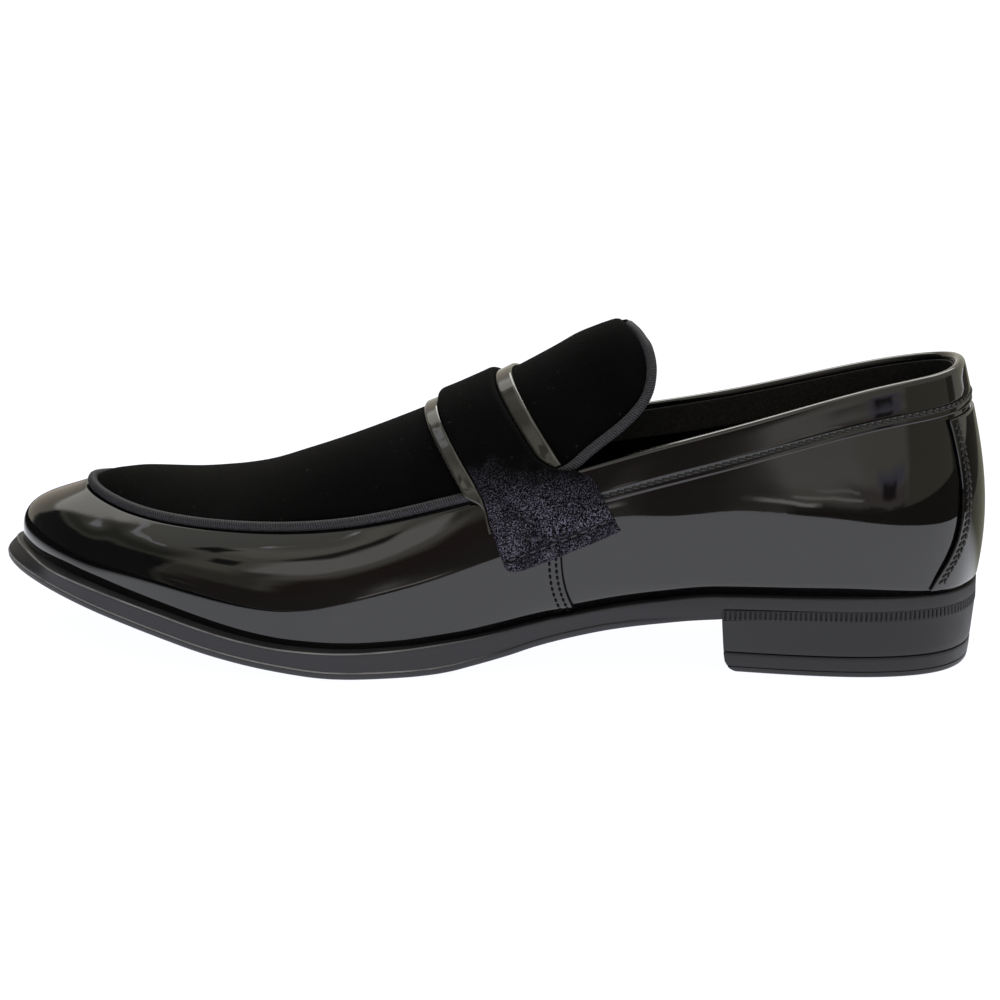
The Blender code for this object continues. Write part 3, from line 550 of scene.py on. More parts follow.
def liningMaterial():
    material, nodes, shader = newMaterial("lining_leather")
    setShader(shader, Specular_IOR_Level=0.3)
    pore, poreMask = addRelief(nodes, 1400, 3, 0.4, 0.65)
    mixColours(nodes, poreMask, (0.022, 0.022, 0.0225), (0.042, 0.042, 0.043), shader.inputs["Base Color"])
    mixValues(nodes, poreMask, 0.55, 0.75, shader.inputs["Roughness"])
    addBump(nodes, pore, shader, 0.0001, 0.6)
    return material


def threadMaterial(name, dark, light, gloss=0.6):
    material, nodes, shader = newMaterial(name)
    setShader(shader, Roughness=0.38, Specular_IOR_Level=gloss)
    twist, twistMask = addRelief(nodes, 2400, 2, 0.35, 0.7)
    mixColours(nodes, twistMask, dark, light, shader.inputs["Base Color"])
    addBump(nodes, twist, shader, 0.0001, 0.6)
    return material


patent = patentMaterial("patent_leather", (0.0026, 0.0026, 0.003), (0.0045, 0.0044, 0.0046))
# the strap's strips: the same patent painted paler and olive, a painted reflection of the light olive they
# mirror
paintedReflectionPatent = patentMaterial("strip_patent_painted_reflection", (0.028, 0.027, 0.024), (0.055, 0.053, 0.046))
velvet = velvetMaterial("velvet", False)
tabVelvet = velvetMaterial("strap_velvet", True)
ribbon = ribbonMaterial()
rubber = rubberMaterial("sole_rubber", (0.012, 0.012, 0.0145), (0.018, 0.018, 0.021))
lining = liningMaterial()
thread = threadMaterial("waxed_thread", (0.003, 0.003, 0.0035), (0.01, 0.01, 0.011))
seamThread = threadMaterial("seam_thread", (0.0015, 0.0015, 0.002), (0.004, 0.004, 0.005), 0.1)
tabThread = threadMaterial("tab_thread", (0.02, 0.02, 0.027), (0.07, 0.068, 0.09))
print("materials ready")

# vamp and quarters
vamp = {
    "columnsPerSection": 14,
    "rows": 60,
    "seamFoot": 4.42,  # where the side seam meets the sole, in sections
    "seamRise": 0.75,  # and how far it moves forward up the wall
    "seamStep": 1.0,
    "seamHalf": 0.12,
    "seamColumns": [-0.5, -0.25, -0.12, -0.05, 0, 0.05, 0.12, 0.25, 0.5, 0.9],  # extra ones beside the step
    "seamFade": 16.0,
    "sectionLength": 31.0,
    "sewnStart": (5.2, 6.0),  # sections where the edge goes in under the piping
    "sewnEnd": (18.0, 18.8),
    "sewnLevel": 0.965,
    "sewnDepth": 0.7,
    "waistBack": (0.8, 2.2),  # sections where the waist begins and ends
    "waistFront": (4.6, 6.2),
    "toe": (7.5, 10.5),
    "flare": 0.5,  # how far the foot spreads towards the sole's edge
    "flareLevel": 0.17,
    "tuck": 0.2,  # how far the leather turns under at the sole
    "tuckLevel": 0.008,
    "waistTuck": 1.0,  # and how much more along the waist
    "waistLevel": 0.08,
    "footDrop": 0.55,
}
# soft hollows and swellings left by the lasting: section, level, half widths in sections and level, height
lastingMarks = [
    (9.7, 0.45, 0.28, 0.5, -0.35),
    (8.9, 0.35, 0.4, 0.4, 0.25),
    (7.4, 0.55, 0.5, 0.3, -0.3),
    (5.9, 0.4, 0.4, 0.35, 0.25),
    (3.5, 0.35, 0.45, 0.3, 0.35),
    (2.2, 0.3, 0.35, 0.3, -0.25),
    (14.6, 0.45, 0.3, 0.5, -0.35),
    (16.4, 0.5, 0.5, 0.35, -0.3),
    (18.3, 0.4, 0.4, 0.35, 0.25),
    (20.6, 0.35, 0.45, 0.3, 0.35),
]


def seamAhead(where, level, inner):
    where = sectionCount - where if inner else where
    line = vamp["seamFoot"] + vamp["seamRise"] * level
    return (where - line) * vamp["sectionLength"]


def upperRelief(where, level):
    where = np.mod(where, sectionCount)
    rise = np.zeros(where.shape)
    for section, height, across, tall, amount in lastingMarks:
        rise += amount * np.exp(-((where - section) / across) ** 2 - ((level - height) / tall) ** 2)
    for inner in (False, True):
        ahead = seamAhead(where, level, inner)
        near = (where > sectionCount / 2) == inner
        step = vamp["seamStep"] * easeStep(-vamp["seamHalf"], vamp["seamHalf"], ahead)
        rise += np.where(near, step * np.exp(-np.clip(ahead, 0, None) / vamp["seamFade"]), 0)
    sewn = easeStep(*vamp["sewnStart"], where) * (1 - easeStep(*vamp["sewnEnd"], where))
    rise -= vamp["sewnDepth"] * sewn * easeStep(vamp["sewnLevel"], 1.0, level)
    folded = np.minimum(where, sectionCount - where)
    waist = easeStep(*vamp["waistBack"], folded) * (1 - easeStep(*vamp["waistFront"], folded))
    flare = vamp["flare"] * (1 - waist) * (1 - easeStep(*vamp["toe"], folded))
    rise += flare * (1 - easeStep(0, vamp["flareLevel"], level))
    tuckLevel = vamp["tuckLevel"] + vamp["waistLevel"] * waist
    tuck = vamp["tuck"] + vamp["waistTuck"] * waist
    rise -= tuck * np.clip(1 - level / tuckLevel, 0, 1) ** 2
    return rise


def buildUpper():
    count = sectionCount * vamp["columnsPerSection"]
    columns = np.arange(count) / vamp["columnsPerSection"]
    middle = vamp["seamFoot"] + vamp["seamRise"] * 0.5
    fine = np.array(vamp["seamColumns"]) / vamp["sectionLength"]
    extra = np.concatenate([middle + fine, sectionCount - middle + fine])
    keep = np.min(np.abs(columns[:, None] - extra[None, :]), axis=1) > 0.3 / vamp["columnsPerSection"]
    columns = np.sort(np.concatenate([columns[keep], extra]))
    brim = [0.965, 0.974, 0.983, 0.992, 1.0]
    levels = np.concatenate([np.linspace(0, 0.96, vamp["rows"] - len(brim)) ** 1.25, brim])

    def place(row, column):
        level = levels[row]
        where = columns[column % len(columns)]
        folded = np.minimum(where, sectionCount - where)
        lean = vamp["seamRise"] * (level - 0.5) * np.exp(-((folded - middle) / 0.7) ** 4)
        where = where + np.where(where > sectionCount / 2, -lean, lean)
        points, outward, _ = upperFrames(where, level)
        points = points + outward * upperRelief(where, level)[:, None]
        points[:, 2] -= vamp["footDrop"] * (level == 0)
        return points

    piece = gridPiece("vamp_quarters", len(levels), len(columns) + 1, place)
    addWall(piece, last["wall"], material_offset=1, material_offset_rim=1)
    return finishPiece(piece, [patent, lining], "upper", 60)


buildUpper()

# velvet apron and tongue
apron = {
    "wall": 2.4,
    "seamHalf": 1.65,
    "crown": 2.1,
    "spans": 200,
    "rings": 30,
    "crestFront": 269.0,
    "crestBack": 112.3,
    "turn": 6.5,  # the inner half lies further forward, less towards the middle and the throat
    "turnSide": 18.0,
    "turnFade": (24, 33),
    "hemOut": 1.2,
    "hemDown": 0.7,
    # station, side, height of the tongue's free edge, outer half
    "tongue": [
        (119.1, 31.0, 68.8),
        (111.2, 28.3, 75.0),
        (105.2, 25.0, 80.5),
        (102.5, 22.2, 84.6),
        (101.7, 19.6, 88.4),
        (101.8, 17.2, 91.6),
        (102.6, 14.7, 94.4),
        (103.8, 12.0, 96.9),
        (105.2, 9.0, 98.8),
        (107.0, 5.0, 100.4),
        (109.1, 0.0, 101.1),
    ],
    # station, side, height of the crest
    "crest": [
        (100, 0.0, 104.0),
        (109, 0.0, 103.0),
        (122, 0.0, 98.6),
        (132, 0.0, 92.8),
        (152, 0.0, 81.8),
        (171, 0.5, 73.2),
        (195, 1.0, 63.2),
        (209, 1.5, 58.0),
        (224, 2.0, 53.0),
        (235, 2.5, 51.1),
        (247, 2.5, 50.2),
        (262, 3.0, 50.6),
        (272, 3.5, 49.6),
    ],
}
crestSideAt = profileCurve(apron["crest"], 1)
crestHeightAt = profileCurve(apron["crest"], 2)


def apronOutline(spans):
    first, final, step = last["throat"], sectionCount - last["throat"], 0.5
    seam = np.arange(first, final + step / 2, step)
    points, _, up = upperFrames(seam, 1.0)
    around = list(points + up * 2 * apron["seamHalf"])
    for station, side, height in apron["tongue"]:
        turn = math.sin(min(side / apron["turnSide"], 1) * math.pi / 2)
        turn *= 1 - easeStep(*apron["turnFade"], side)
        around.append((station + apron["turn"] * turn, side, height))
    around += [(station, -side, height) for station, side, height in apron["tongue"][-2::-1]]
    tip, half = (len(seam) - 1) / 2, len(around) / 2
    share = np.linspace(0, 1, spans + 1)
    index = np.concatenate([tip + half * share, (tip - half * share)[-2:0:-1]]) % len(around)
    outline = closedCurve(around, byLength=True)(index)
    sewn = index <= len(seam) - 1
    points, _, up = upperFrames(seam[0] + step * index[sewn], 1.0)
    outline[sewn] = points + up * 2 * apron["seamHalf"]
    return outline, -up, sewn


def apronRings(spans, rings):
    outline, sewnOut, sewn = apronOutline(spans)
    total = len(outline)
    mates = outline[(-np.arange(total)) % total]
    station = np.clip((outline[:, 0] + mates[:, 0]) / 2, apron["crestBack"], apron["crestFront"])
    crest = np.column_stack([station, crestSideAt(station), crestHeightAt(station)])
    made = []
    for share in np.linspace(0, 1, rings):
        plan = outline[:, :2] * (1 - share) + crest[:, :2] * share
        rise = 1 - (1 - share) ** apron["crown"]
        made.append(np.column_stack([plan, outline[:, 2] + (crest[:, 2] - outline[:, 2]) * rise]))
    return np.stack(made, axis=1), sewnOut, sewn


def pipingLine(spans):
    rings, sewnOut, sewn = apronRings(spans, 7)
    edge = rings[:, 0]
    along = unitRows(np.roll(edge, -1, 0) - np.roll(edge, 1, 0))
    out = edge - rings[:, 1]
    out = unitRows(out - along * np.sum(out * along, axis=1, keepdims=True))
    out[sewn] = sewnOut
    for _ in range(12):
        smooth = np.roll(out, 1, 0) + 2 * out + np.roll(out, -1, 0)
        out[~sewn] = smooth[~sewn]
        out = unitRows(out)
    return edge + out * apron["seamHalf"], out


def buildApron():
    rings = apronRings(apron["spans"], apron["rings"])[0]
    inward = np.cross(np.roll(rings, -1, 0) - np.roll(rings, 1, 0), np.gradient(rings, axis=1))
    inward *= np.where(inward[:, :, 2:] > 0, -1, 1)
    inward[:, -4:] = inward[:, -5:-4]
    inward = unitRows(inward)
    # points that meet along the crest share one direction
    _, group = np.unique(np.round(rings[:, -1], 3), axis=0, return_inverse=True)
    group = group.ravel()
    for axis in range(3):
        total = np.bincount(group, inward[:, -1, axis])
        inward[:, -1, axis] = total[group] / np.bincount(group)[group]
    inward[:, -1] = unitRows(inward[:, -1])
    for back in (2, 3):
        inward[:, -back] = inward[:, -1] * (4 - back) / 3 + inward[:, -5] * (back - 1) / 3
    inner = rings + inward * apron["wall"]
    out = pipingLine(apron["spans"])[1]
    hem = rings[:, 0] + out * apron["hemOut"] + inward[:, 0] * apron["hemDown"]
    loop = np.concatenate([rings[:, ::-1], hem[:, None], inner], axis=1)
    piece = ringPiece("apron_tongue_velvet", loop.swapaxes(0, 1))
    return finishPiece(piece, velvet, "apron_tongue", 70)


# ribbed piping round the apron and tongue
def buildPiping():
    line, out = pipingLine(160)
    loop = np.vstack([line, line[:1]])
    run = runLength(loop)
    rings = piping["ribs"] * piping["ringsPerRib"]
    spots = np.arange(rings) / rings * run[-1]
    centre = alongLine(spots, run, loop)
    side = alongLine(spots, run, np.vstack([out, out[:1]]))
    along = unitRows(np.roll(centre, -1, 0) - np.roll(centre, 1, 0))
    side = unitRows(side - along * np.sum(side * along, axis=1, keepdims=True))
    over = np.cross(along, side)
    sides = piping["sides"]

    def place(row, column):
        ring, angle = column % rings, row % sides / sides * 2 * np.pi
        phase = ring / piping["ringsPerRib"] * np.pi + angle / 2 * piping["ribTurns"]
        reach = piping["radius"] + piping["ribDepth"] * (np.abs(np.sin(phase)) - 0.6)
        aside, above = (reach * np.cos(angle))[:, None], (reach * np.sin(angle))[:, None]
        return centre[ring] + side[ring] * aside + over[ring] * above

    piece = gridPiece("apron_ribbon_piping", sides + 1, rings + 1, place, fillEnds=True)
    return finishPiece(piece, ribbon, "apron_piping", 80)


buildApron()
buildPiping()

# collar band: a patent strip down the outside, rolled over the topline
band = {"height": 11.7, "thick": 1.0, "reach": 4.84, "columns": 300, "stitchDrop": 9.3, "channel": 0.22}


# rows of out from the wall, drop below the edge and rise past it
def bandProfile():
    face, back, inside = last["gap"] + band["thick"], last["gap"], -last["wall"]
    tall = band["height"]
    rows = [(back, tall - 0.5, 0), (back + 0.1, tall - 0.15, 0), (back + 0.4, tall, 0)]
    rows += [(face - 0.2, tall - 0.05, 0), (face - 0.05, tall - 0.25, 0)]
    rows += [(face, tall - 0.6, 0), (face, tall - 1.4, 0)]
    for share in np.linspace(-1, 1, 7):
        dip = band["channel"] * math.cos(share * math.pi / 2) ** 2
        rows.append((face - dip, band["stitchDrop"] - share * 0.8, 0))
    rows += [(face + 0.06, drop, 0) for drop in (7.6, 6.0, 4.4, 2.8, 1.6)]
    middle, half = (face + inside) / 2, (face - inside) / 2
    for turn in np.linspace(0, math.pi, 15):
        rows.append((middle + half * math.cos(turn), 0.5 - 0.5 * math.sin(turn), 1.3 * math.sin(turn)))
    rows += [(inside, 1.4, 0), (inside + 0.3, 1.5, 0), (inside + 0.5, 0, last["gap"])]
    rows += [(back, 0, last["gap"]), (back, 1.5, 0), (back, 5, 0)]
    return np.array(rows)


def buildBand():
    places = np.linspace(-band["reach"], band["reach"], band["columns"])
    loops = []
    for out, drop, past in bandProfile():
        points, outward, up = upperFrames(places, levelBelowEdge(places, drop))
        loops.append(points + outward * out + up * past)
    loops = np.stack(loops)

    def place(row, column):
        return loops[row % len(loops), column]

    piece = gridPiece("collar_band_patent", len(loops) + 1, len(places), place, fillEnds=True)
    return finishPiece(piece, patent, "collar_band", 50)


buildBand()

# backstay up the heel
backstay = {
    "thick": 1.0,
    "sectionLength": 21.0,  # at the back
    "rows": 60,
    "columns": 70,
    # level up the wall, half width in sections
    "reach": [
        (0.02, 1.30),
        (0.09, 1.22),
        (0.17, 1.10),
        (0.26, 1.00),
        (0.36, 0.94),
        (0.50, 0.91),
        (0.62, 0.93),
        (0.74, 0.97),
        (0.81, 1.01),
    ],
}
backstayReachAt = profileCurve(backstay["reach"], 1)


def buildBackstay():
    levels = np.linspace(backstay["reach"][0][0], backstay["reach"][-1][0], backstay["rows"])

    def place(row, column):
        level = levels[row]
        across = column / (backstay["columns"] - 1) * 2 - 1
        points, outward, _ = upperFrames(across * backstayReachAt(level), level)
        return points + outward * (last["gap"] + backstay["thick"])

    piece = gridPiece("backstay_patent", backstay["rows"], backstay["columns"], place)
    addWall(piece, backstay["thick"])
    softenEdges(piece, 0.4)
    return finishPiece(piece, patent, "backstay", 50)


buildBackstay()

# saddle strap over the instep, in planes that lean back from upright
strap = {
    "station": 157.7,
    "height": 79.5,
    "lean": 39.5,
    "centreDepth": 36.0,  # its form is found by rays from a line inside the shoe
    "sweep": 140.0,
    "rays": 211,
    "smoothing": 11,
    "formWidths": (-24, 22, 24),
    "formArcs": (-80, 80, 81),
    "clearance": 0.4,
    # arc down from the crest, front edge, rear edge, rise of the face
    "rows": [
        (0, 9.4, -9.1, 2.9),
        (14, 9.4, -9.2, 2.9),
        (28, 9.4, -9.6, 2.6),
        (40, 9.4, -9.9, 2.2),
        (46, 9.8, -12.5, 1.9),
        (50, 10.8, -18.0, 1.7),
        (53, 11.9, -20.2, 1.6),
        (61, 14.4, -18.8, 1.5),
        (71.5, 17.6, -16.9, 1.4),
    ],
    "cornerRadius": 3.5,
    "edgeRound": 1.6,
    "endRound": 0.7,
    "endThin": 0.4,  # share of the rise left at the very end
    "stitchInset": 4.6,
    "grooveHalf": 0.75,  # the stitches pull a groove
    "grooveDepth": 0.95,
    "columns": 181,
    "across": 34,
    "roughness": 0.22,
    "tabArc": (48, 54),  # where the tabs begin
    "swell": 7.0,
    "swellGap": 0.5,
}
strapTrim = {
    "front": 14.2,
    "rear": -15.0,
    "frontArc": 57.5,
    "rearArc": 46.0,
    "thick": 1.0,
    "gap": 0.3,
    "narrowest": 0.6,
    "slimArc": (44, 50),  # past here the front strip is a thin line beside the tab
    "slimWidth": 0.8,
    "edgeRound": 0.9,
}
strapFrontAt = profileCurve(strap["rows"], 1)
strapRearAt = profileCurve(strap["rows"], 2)
strapRiseAt = profileCurve(strap["rows"], 3)
strapEnd = strap["rows"][-1][0]


def fineTree(points):
    rows, columns = points.shape[:2]
    faces = []
    for row in range(rows):
        after = (row + 1) % rows
        for column in range(columns - 1):
            near, far = row * columns + column, after * columns + column
            faces.append((near, far, far + 1, near + 1))
    return BVHTree.FromPolygons([tuple(point) for point in points.reshape(-1, 3)], faces)


def strapLine(width, ahead, down, trees):
    centre = np.array([strap["station"], 0, strap["height"]]) + ahead * width + down * strap["centreDepth"]
    turns = np.radians(np.linspace(-strap["sweep"], strap["sweep"], strap["rays"]))
    rays = -np.cos(turns)[:, None] * down + np.sin(turns)[:, None] * np.array([0, 1.0, 0])
    reach = np.full(turns.shape, np.nan)
    for i, ray in enumerate(rays):
        hits = [tree.ray_cast(Vector(centre), Vector(ray))[3] for tree in trees]
        hits = [hit for hit in hits if hit is not None]
        if hits:
            reach[i] = max(hits)
    good = np.isfinite(reach)
    reach = np.interp(turns, turns[good], reach[good])
    kernel = np.hanning(strap["smoothing"])
    padded = np.pad(reach, strap["smoothing"] // 2, mode="edge")
    reach = np.convolve(padded, kernel / kernel.sum(), mode="valid")
    line = centre + rays * reach[:, None]
    run = runLength(line)
    return line, run - np.interp(0, turns, run)


def makeStrapForm():
    lean = math.radians(strap["lean"])
    ahead = np.array([math.cos(lean), 0, -math.sin(lean)])
    down = np.array([-math.sin(lean), 0, -math.cos(lean)])
    places = np.arange(sectionCount * 6) / 6
    levels = np.linspace(0, 1, 17)
    wall = np.stack([upperPoints(places, np.full(places.shape, level)) for level in levels], axis=1)
    trees = [fineTree(wall), fineTree(apronRings(60, 9)[0])]
    widths, arcs = np.linspace(*strap["formWidths"]), np.linspace(*strap["formArcs"])
    grid = []
    for width in widths:
        line, run = strapLine(width, ahead, down, trees)
        kept = np.clip(arcs, run[0], run[-1])
        past = (arcs - kept)[:, None] * down * np.sign(arcs)[:, None]
        grid.append(alongLine(kept, run, line) + past)
    grid = np.stack(grid)
    outward = unitRows(np.cross(np.gradient(grid, axis=0), np.gradient(grid, axis=1)))
    outward *= np.sign(outward[len(widths) // 2, len(arcs) // 2, 2])
    # the strap swells over the piping and the ends of the collar band
    line = pipingLine(34)[0]
    raised = [(place, piping["radius"]) for place in (*line, *(line + np.roll(line, -1, 0)) / 2)]
    reach = np.linspace(band["reach"] - 1.2, band["reach"], 9)
    for place in (*reach, *-reach):
        where = np.full(6, place)
        drops = np.maximum(np.linspace(-last["gap"] - band["thick"], band["height"], 6), 0)
        points, out, _ = upperFrames(where, levelBelowEdge(where, drops))
        raised += [(point, 0.0) for point in points + out * (last["gap"] + band["thick"])]
    lift = np.full(grid.shape[:2], strap["clearance"])
    for place, radius in raised:
        away = place - grid
        above = np.sum(away * outward, axis=2)
        beside = np.sum(away * away, axis=2) - above**2
        rise = np.maximum(above + radius + strap["swellGap"] - strap["clearance"], 0)
        lift = np.maximum(lift, strap["clearance"] + rise * np.exp(-beside / strap["swell"] ** 2))
    return widths, arcs, grid, outward, lift


strapForm = makeStrapForm()


def onStrap(width, arc, rise):
    widths, arcs, grid, outward, lift = strapForm
    i = np.clip(np.searchsorted(widths, width) - 1, 0, len(widths) - 2)
    j = np.clip(np.searchsorted(arcs, arc) - 1, 0, len(arcs) - 2)
    across = ((width - widths[i]) / (widths[i + 1] - widths[i]))[:, None]
    along = ((arc - arcs[j]) / (arcs[j + 1] - arcs[j]))[:, None]

    def mix(table):
        low = table[i, j] * (1 - across) + table[i + 1, j] * across
        high = table[i, j + 1] * (1 - across) + table[i + 1, j + 1] * across
        return low * (1 - along) + high * along

    out = unitRows(mix(outward))
    return mix(grid) + out * (mix(lift[..., None]) + np.reshape(rise, (-1, 1))), out


# a strip on the strap's form: its face from front to rear, then its back
def strapStrip(name, arcs, frontOf, rearOf, riseOf, edge):
    half = strap["across"]
    share = (1 - np.cos(np.linspace(0, math.pi, half))) / 2

    def place(row, column):
        row = row % (2 * half)
        face = row < half
        across = share[np.where(face, row, 2 * half - 1 - row)]
        arc = arcs[column]
        front, rear = frontOf(arc), rearOf(arc)
        width = front + (rear - front) * across
        side = np.minimum(np.minimum(across, 1 - across) * np.abs(front - rear) / edge, 1)
        rise = riseOf(arc) * np.where(face, 0.35 + 0.65 * np.sqrt(1 - (1 - side) ** 2), 0)
        return onStrap(width, arc, rise)[0]

    return gridPiece(name, 2 * half + 1, len(arcs), place, fillEnds=True)


def ragged(arc, seed):
    tab = easeStep(*strap["tabArc"], np.abs(arc))
    rough = np.array([noise.noise((value * 1.7, seed, 0)) for value in arc])
    return rough * tab * strap["roughness"]


def buildStrap():
    tab = np.append(np.linspace(strapEnd - 6, strapEnd, 26), strapEnd - 0.3)
    arcs = np.concatenate([np.linspace(-strapEnd, strapEnd, strap["columns"]), tab, -tab])
    arcs = np.unique(np.round(arcs, 3))

    def front(arc):
        radius = strap["cornerRadius"]
        cut = np.clip(np.abs(arc) - strapEnd + radius, 0, radius)
        corner = radius - np.sqrt(radius**2 - cut**2)
        return strapFrontAt(np.abs(arc)) - corner + ragged(arc, 3.1)

    def rear(arc):
        return strapRearAt(np.abs(arc)) + ragged(arc, 7.7)

    def rise(arc):
        short = strapEnd - np.abs(arc)
        end = easeStep(0, strap["endRound"], short) * (1 - strap["endThin"]) + strap["endThin"]
        groove = np.exp(-((short - strap["stitchInset"]) / strap["grooveHalf"]) ** 2)
        return strapRiseAt(np.abs(arc)) * end - groove * strap["grooveDepth"]

    piece = strapStrip("saddle_strap_velvet", arcs, front, rear, rise, strap["edgeRound"])
    return finishPiece(piece, tabVelvet, "saddle_strap", 60)


def buildTrims():
    ends = np.array([6, 4.5, 3, 2, 1.2, 0.6, 0.2, 0])
    for name, node, end, edge, sideOf in (
        ("strap_front_patent", "strap_trim_front", strapTrim["frontArc"], strapTrim["front"], strapFrontAt),
        ("strap_rear_patent", "strap_trim_rear", strapTrim["rearArc"], strapTrim["rear"], strapRearAt),
    ):
        half = np.concatenate([np.linspace(0, end - 7, 60), end - ends])
        arcs = np.concatenate([-half[:0:-1], half])
        sign = np.sign(edge)

        def beside(arc, sideOf=sideOf, edge=edge, sign=sign):
            inner = sideOf(np.abs(arc)) + sign * strapTrim["gap"]
            least = edge - sign * strapTrim["narrowest"]
            return np.where(sign > 0, np.minimum(inner, least), np.maximum(inner, least))

        def outer(arc, sideOf=sideOf, edge=edge, sign=sign):
            thin = sideOf(np.abs(arc)) + sign * (strapTrim["gap"] + strapTrim["slimWidth"])
            slim = easeStep(*strapTrim["slimArc"], np.abs(arc)) * (sign > 0)
            return edge * (1 - slim) + thin * slim

        def rise(arc):
            return np.full(arc.shape, strapTrim["thick"])

        ways = (outer, beside) if sign > 0 else (beside, outer)
        piece = strapStrip(name, arcs, *ways, rise, strapTrim["edgeRound"])
        finishPiece(piece, paintedReflectionPatent, node, 50)


buildStrap()
buildTrims()

# sole: profile rows from the top's middle over the edge to the middle of the tread
sole = {
    "columns": 420,
    "plainFrom": 80.0,
    "plainFade": 34.0,
    "wheelLow": 18.45,
    "wheelHigh": 21.45,
    "wheelDepth": 0.6,
    "heelLength": 77.0,
    "liftHeight": 6.6,
    "toe": (284, 304),  # where the edge begins to lean inward
    "faceTop": 0.7,
    "faceFoot": 2.5,
    "paintedShineFull": -0.025,  # the painted highlight lines fade out along the waist, in metres of the frame
    "paintedShineEnd": 0.012,
    # painted highlights along the edge, on the top bevel and on the bead near the tread, then a faint
    # lightening of the shaded ledge: rows from the tread, half width in rows and how pale
    "shine": [(16.3, 1.1, 0.9), (9.2, 0.9, 1.4), (20.0, 2.1, 0.03)],
}


def soleProfile(where):
    station = outlineAt(where)[:, 0]
    fore = easeStep(sole["plainFrom"], sole["plainFrom"] + sole["plainFade"], station)
    heel = 1 - easeStep(sole["heelLength"], sole["heelLength"] + 1.5, station)
    dip = sole["wheelDepth"] * heel
    toe = easeStep(*sole["toe"], station)

    # a row's inset and height along the forepart, then those at the heel
    def row(foreInset, foreHeight, heelInset, heelHeight):
        plan = insetOutline(where, foreInset * fore + heelInset * (1 - fore))[0]
        low, tall = underAt(plan[:, 0]), topAt(plan[:, 0])
        height = foreHeight(low, tall) * fore + heelHeight(low, tall) * (1 - fore)
        return np.column_stack([plan, height])

    def face(share):
        return lambda low, tall: (
            (tall - sole["faceTop"] - 0.2 * toe) * (1 - share) + (low + sole["faceFoot"]) * share
        )

    def wheel(rise):
        return lambda low, tall: np.minimum(
            tall - 0.9, sole["wheelHigh"] * heel + (low + 2.0) * (1 - heel) + rise
        )

    def below(drop, atToe=0.0):
        return lambda low, tall: tall - drop - atToe * toe

    def above(rise):
        return lambda low, tall: low + rise

    return [
        row(10, below(0), 10, below(0)),
        row(4.6 + 0.6 * toe, below(0), 3, below(0)),
        row(2.6 + 1.8 * toe, below(0), 1.6, below(0)),
        row(1.0 + 2.8 * toe, below(0, 0.1), 0.9, below(0)),
        row(0.45 + 3.1 * toe, below(0, 0.2), 0.4, below(0.02)),
        row(0.2 + 3.1 * toe, below(0.1, 0.2), 0.18, below(0.1)),
        row(0.06 + 3.0 * toe, below(0.24, 0.2), 0.05, below(0.24)),
        row(2.8 * toe, below(0.5, 0.2), 0.0, below(0.5)),
        row(0.05 + 2.3 * toe, face(0.15), 0.0, wheel(0.5)),
        row(0.1 + 1.5 * toe, face(0.4), 0.0, wheel(0.25)),
        row(0.15 + 0.6 * toe, face(0.7), 0.03 * heel, wheel(0.06)),
        row(0.2, face(0.94), dip, wheel(-0.02)),
        row(0.24, above(2.3), dip, wheel(-0.4)),
        row(-0.02, above(2.14), dip, above(1.0)),
        row(-0.12, above(1.98), dip, above(0.4)),
        row(-0.12, above(1.7), dip + 0.05, above(0.1)),
        row(0.0, above(0.6), dip + 0.15, above(0.02)),
        row(0.3, above(0.15), dip + 0.4, above(0)),
        row(1.1, above(0), 1.5, above(0)),
        row(6.0, above(0), 6.0, above(0)),
    ]


# a row's plan drawn together towards the middle, where both sides meet at share 1
def drawnIn(row, share):
    mates = (-np.arange(len(row))) % len(row)
    return row[:, :2] * (1 - share / 2) + row[mates][:, :2] * share / 2


def buildSole():
    count = sole["columns"]
    rows = soleProfile(np.arange(count) / count * sectionCount)
    first = [drawnIn(rows[0], share) for share in (1.0, 0.5)]
    final = [drawnIn(rows[-1], share) for share in (0.4, 0.75, 1.0)]
    first = [np.column_stack([plan, topAt(plan[:, 0])]) for plan in first]
    final = [np.column_stack([plan, underAt(plan[:, 0])]) for plan in final]
    rows = np.stack(first + rows + final)
    piece = ringPiece("sole_unit", rows[::-1])
    # the painted highlight lines lie between two of the rows, counted from the tread
    spans = len(rows) - 1
    lines = [(middle / spans, half / spans, pale) for middle, half, pale in sole["shine"]]
    edged = rubberMaterial("sole_rubber_painted_shine", (0.023, 0.023, 0.027), (0.032, 0.032, 0.038), lines)
    return finishPiece(piece, edged, "outsole", 50)


def sideAt(station, side, inset):
    places = np.linspace(0, -np.sign(side) * last["throat"], 600)
    plan = insetOutline(places, np.full(places.shape, inset))[0]
    order = np.argsort(plan[:, 0])
    return np.interp(station, plan[order, 0], plan[order, 1])


# a ring round the heel: breast set back, edge inset, narrowing towards the breast, height
def heelRing(short, inset, pinch, height):
    turns = np.linspace(0, math.pi / 2, 60)
    front = sole["heelLength"] - short
    stations = inset + (front - inset) * (1 - np.sin(turns))
    narrow = pinch * (stations / sole["heelLength"]) ** 2
    outer = np.column_stack([stations, sideAt(stations, -1, inset) + narrow])
    inner = np.column_stack([stations, sideAt(stations, 1, inset) - narrow])[::-1]
    outer[-1, 1] = inner[0, 1] = 0.0
    breast = np.linspace(0, 1, 16)[1:-1, None]
    across = inner[-1] * (1 - breast) + outer[0] * breast
    plan = np.vstack([outer, inner[1:], across])
    heights = height(plan[:, 0]) if callable(height) else np.full(len(plan), height)
    return np.column_stack([plan, heights])


def buildHeelPiece(name, node, rings):
    piece = ringPiece(name, np.stack(rings))
    return finishPiece(piece, rubber, node, 45)


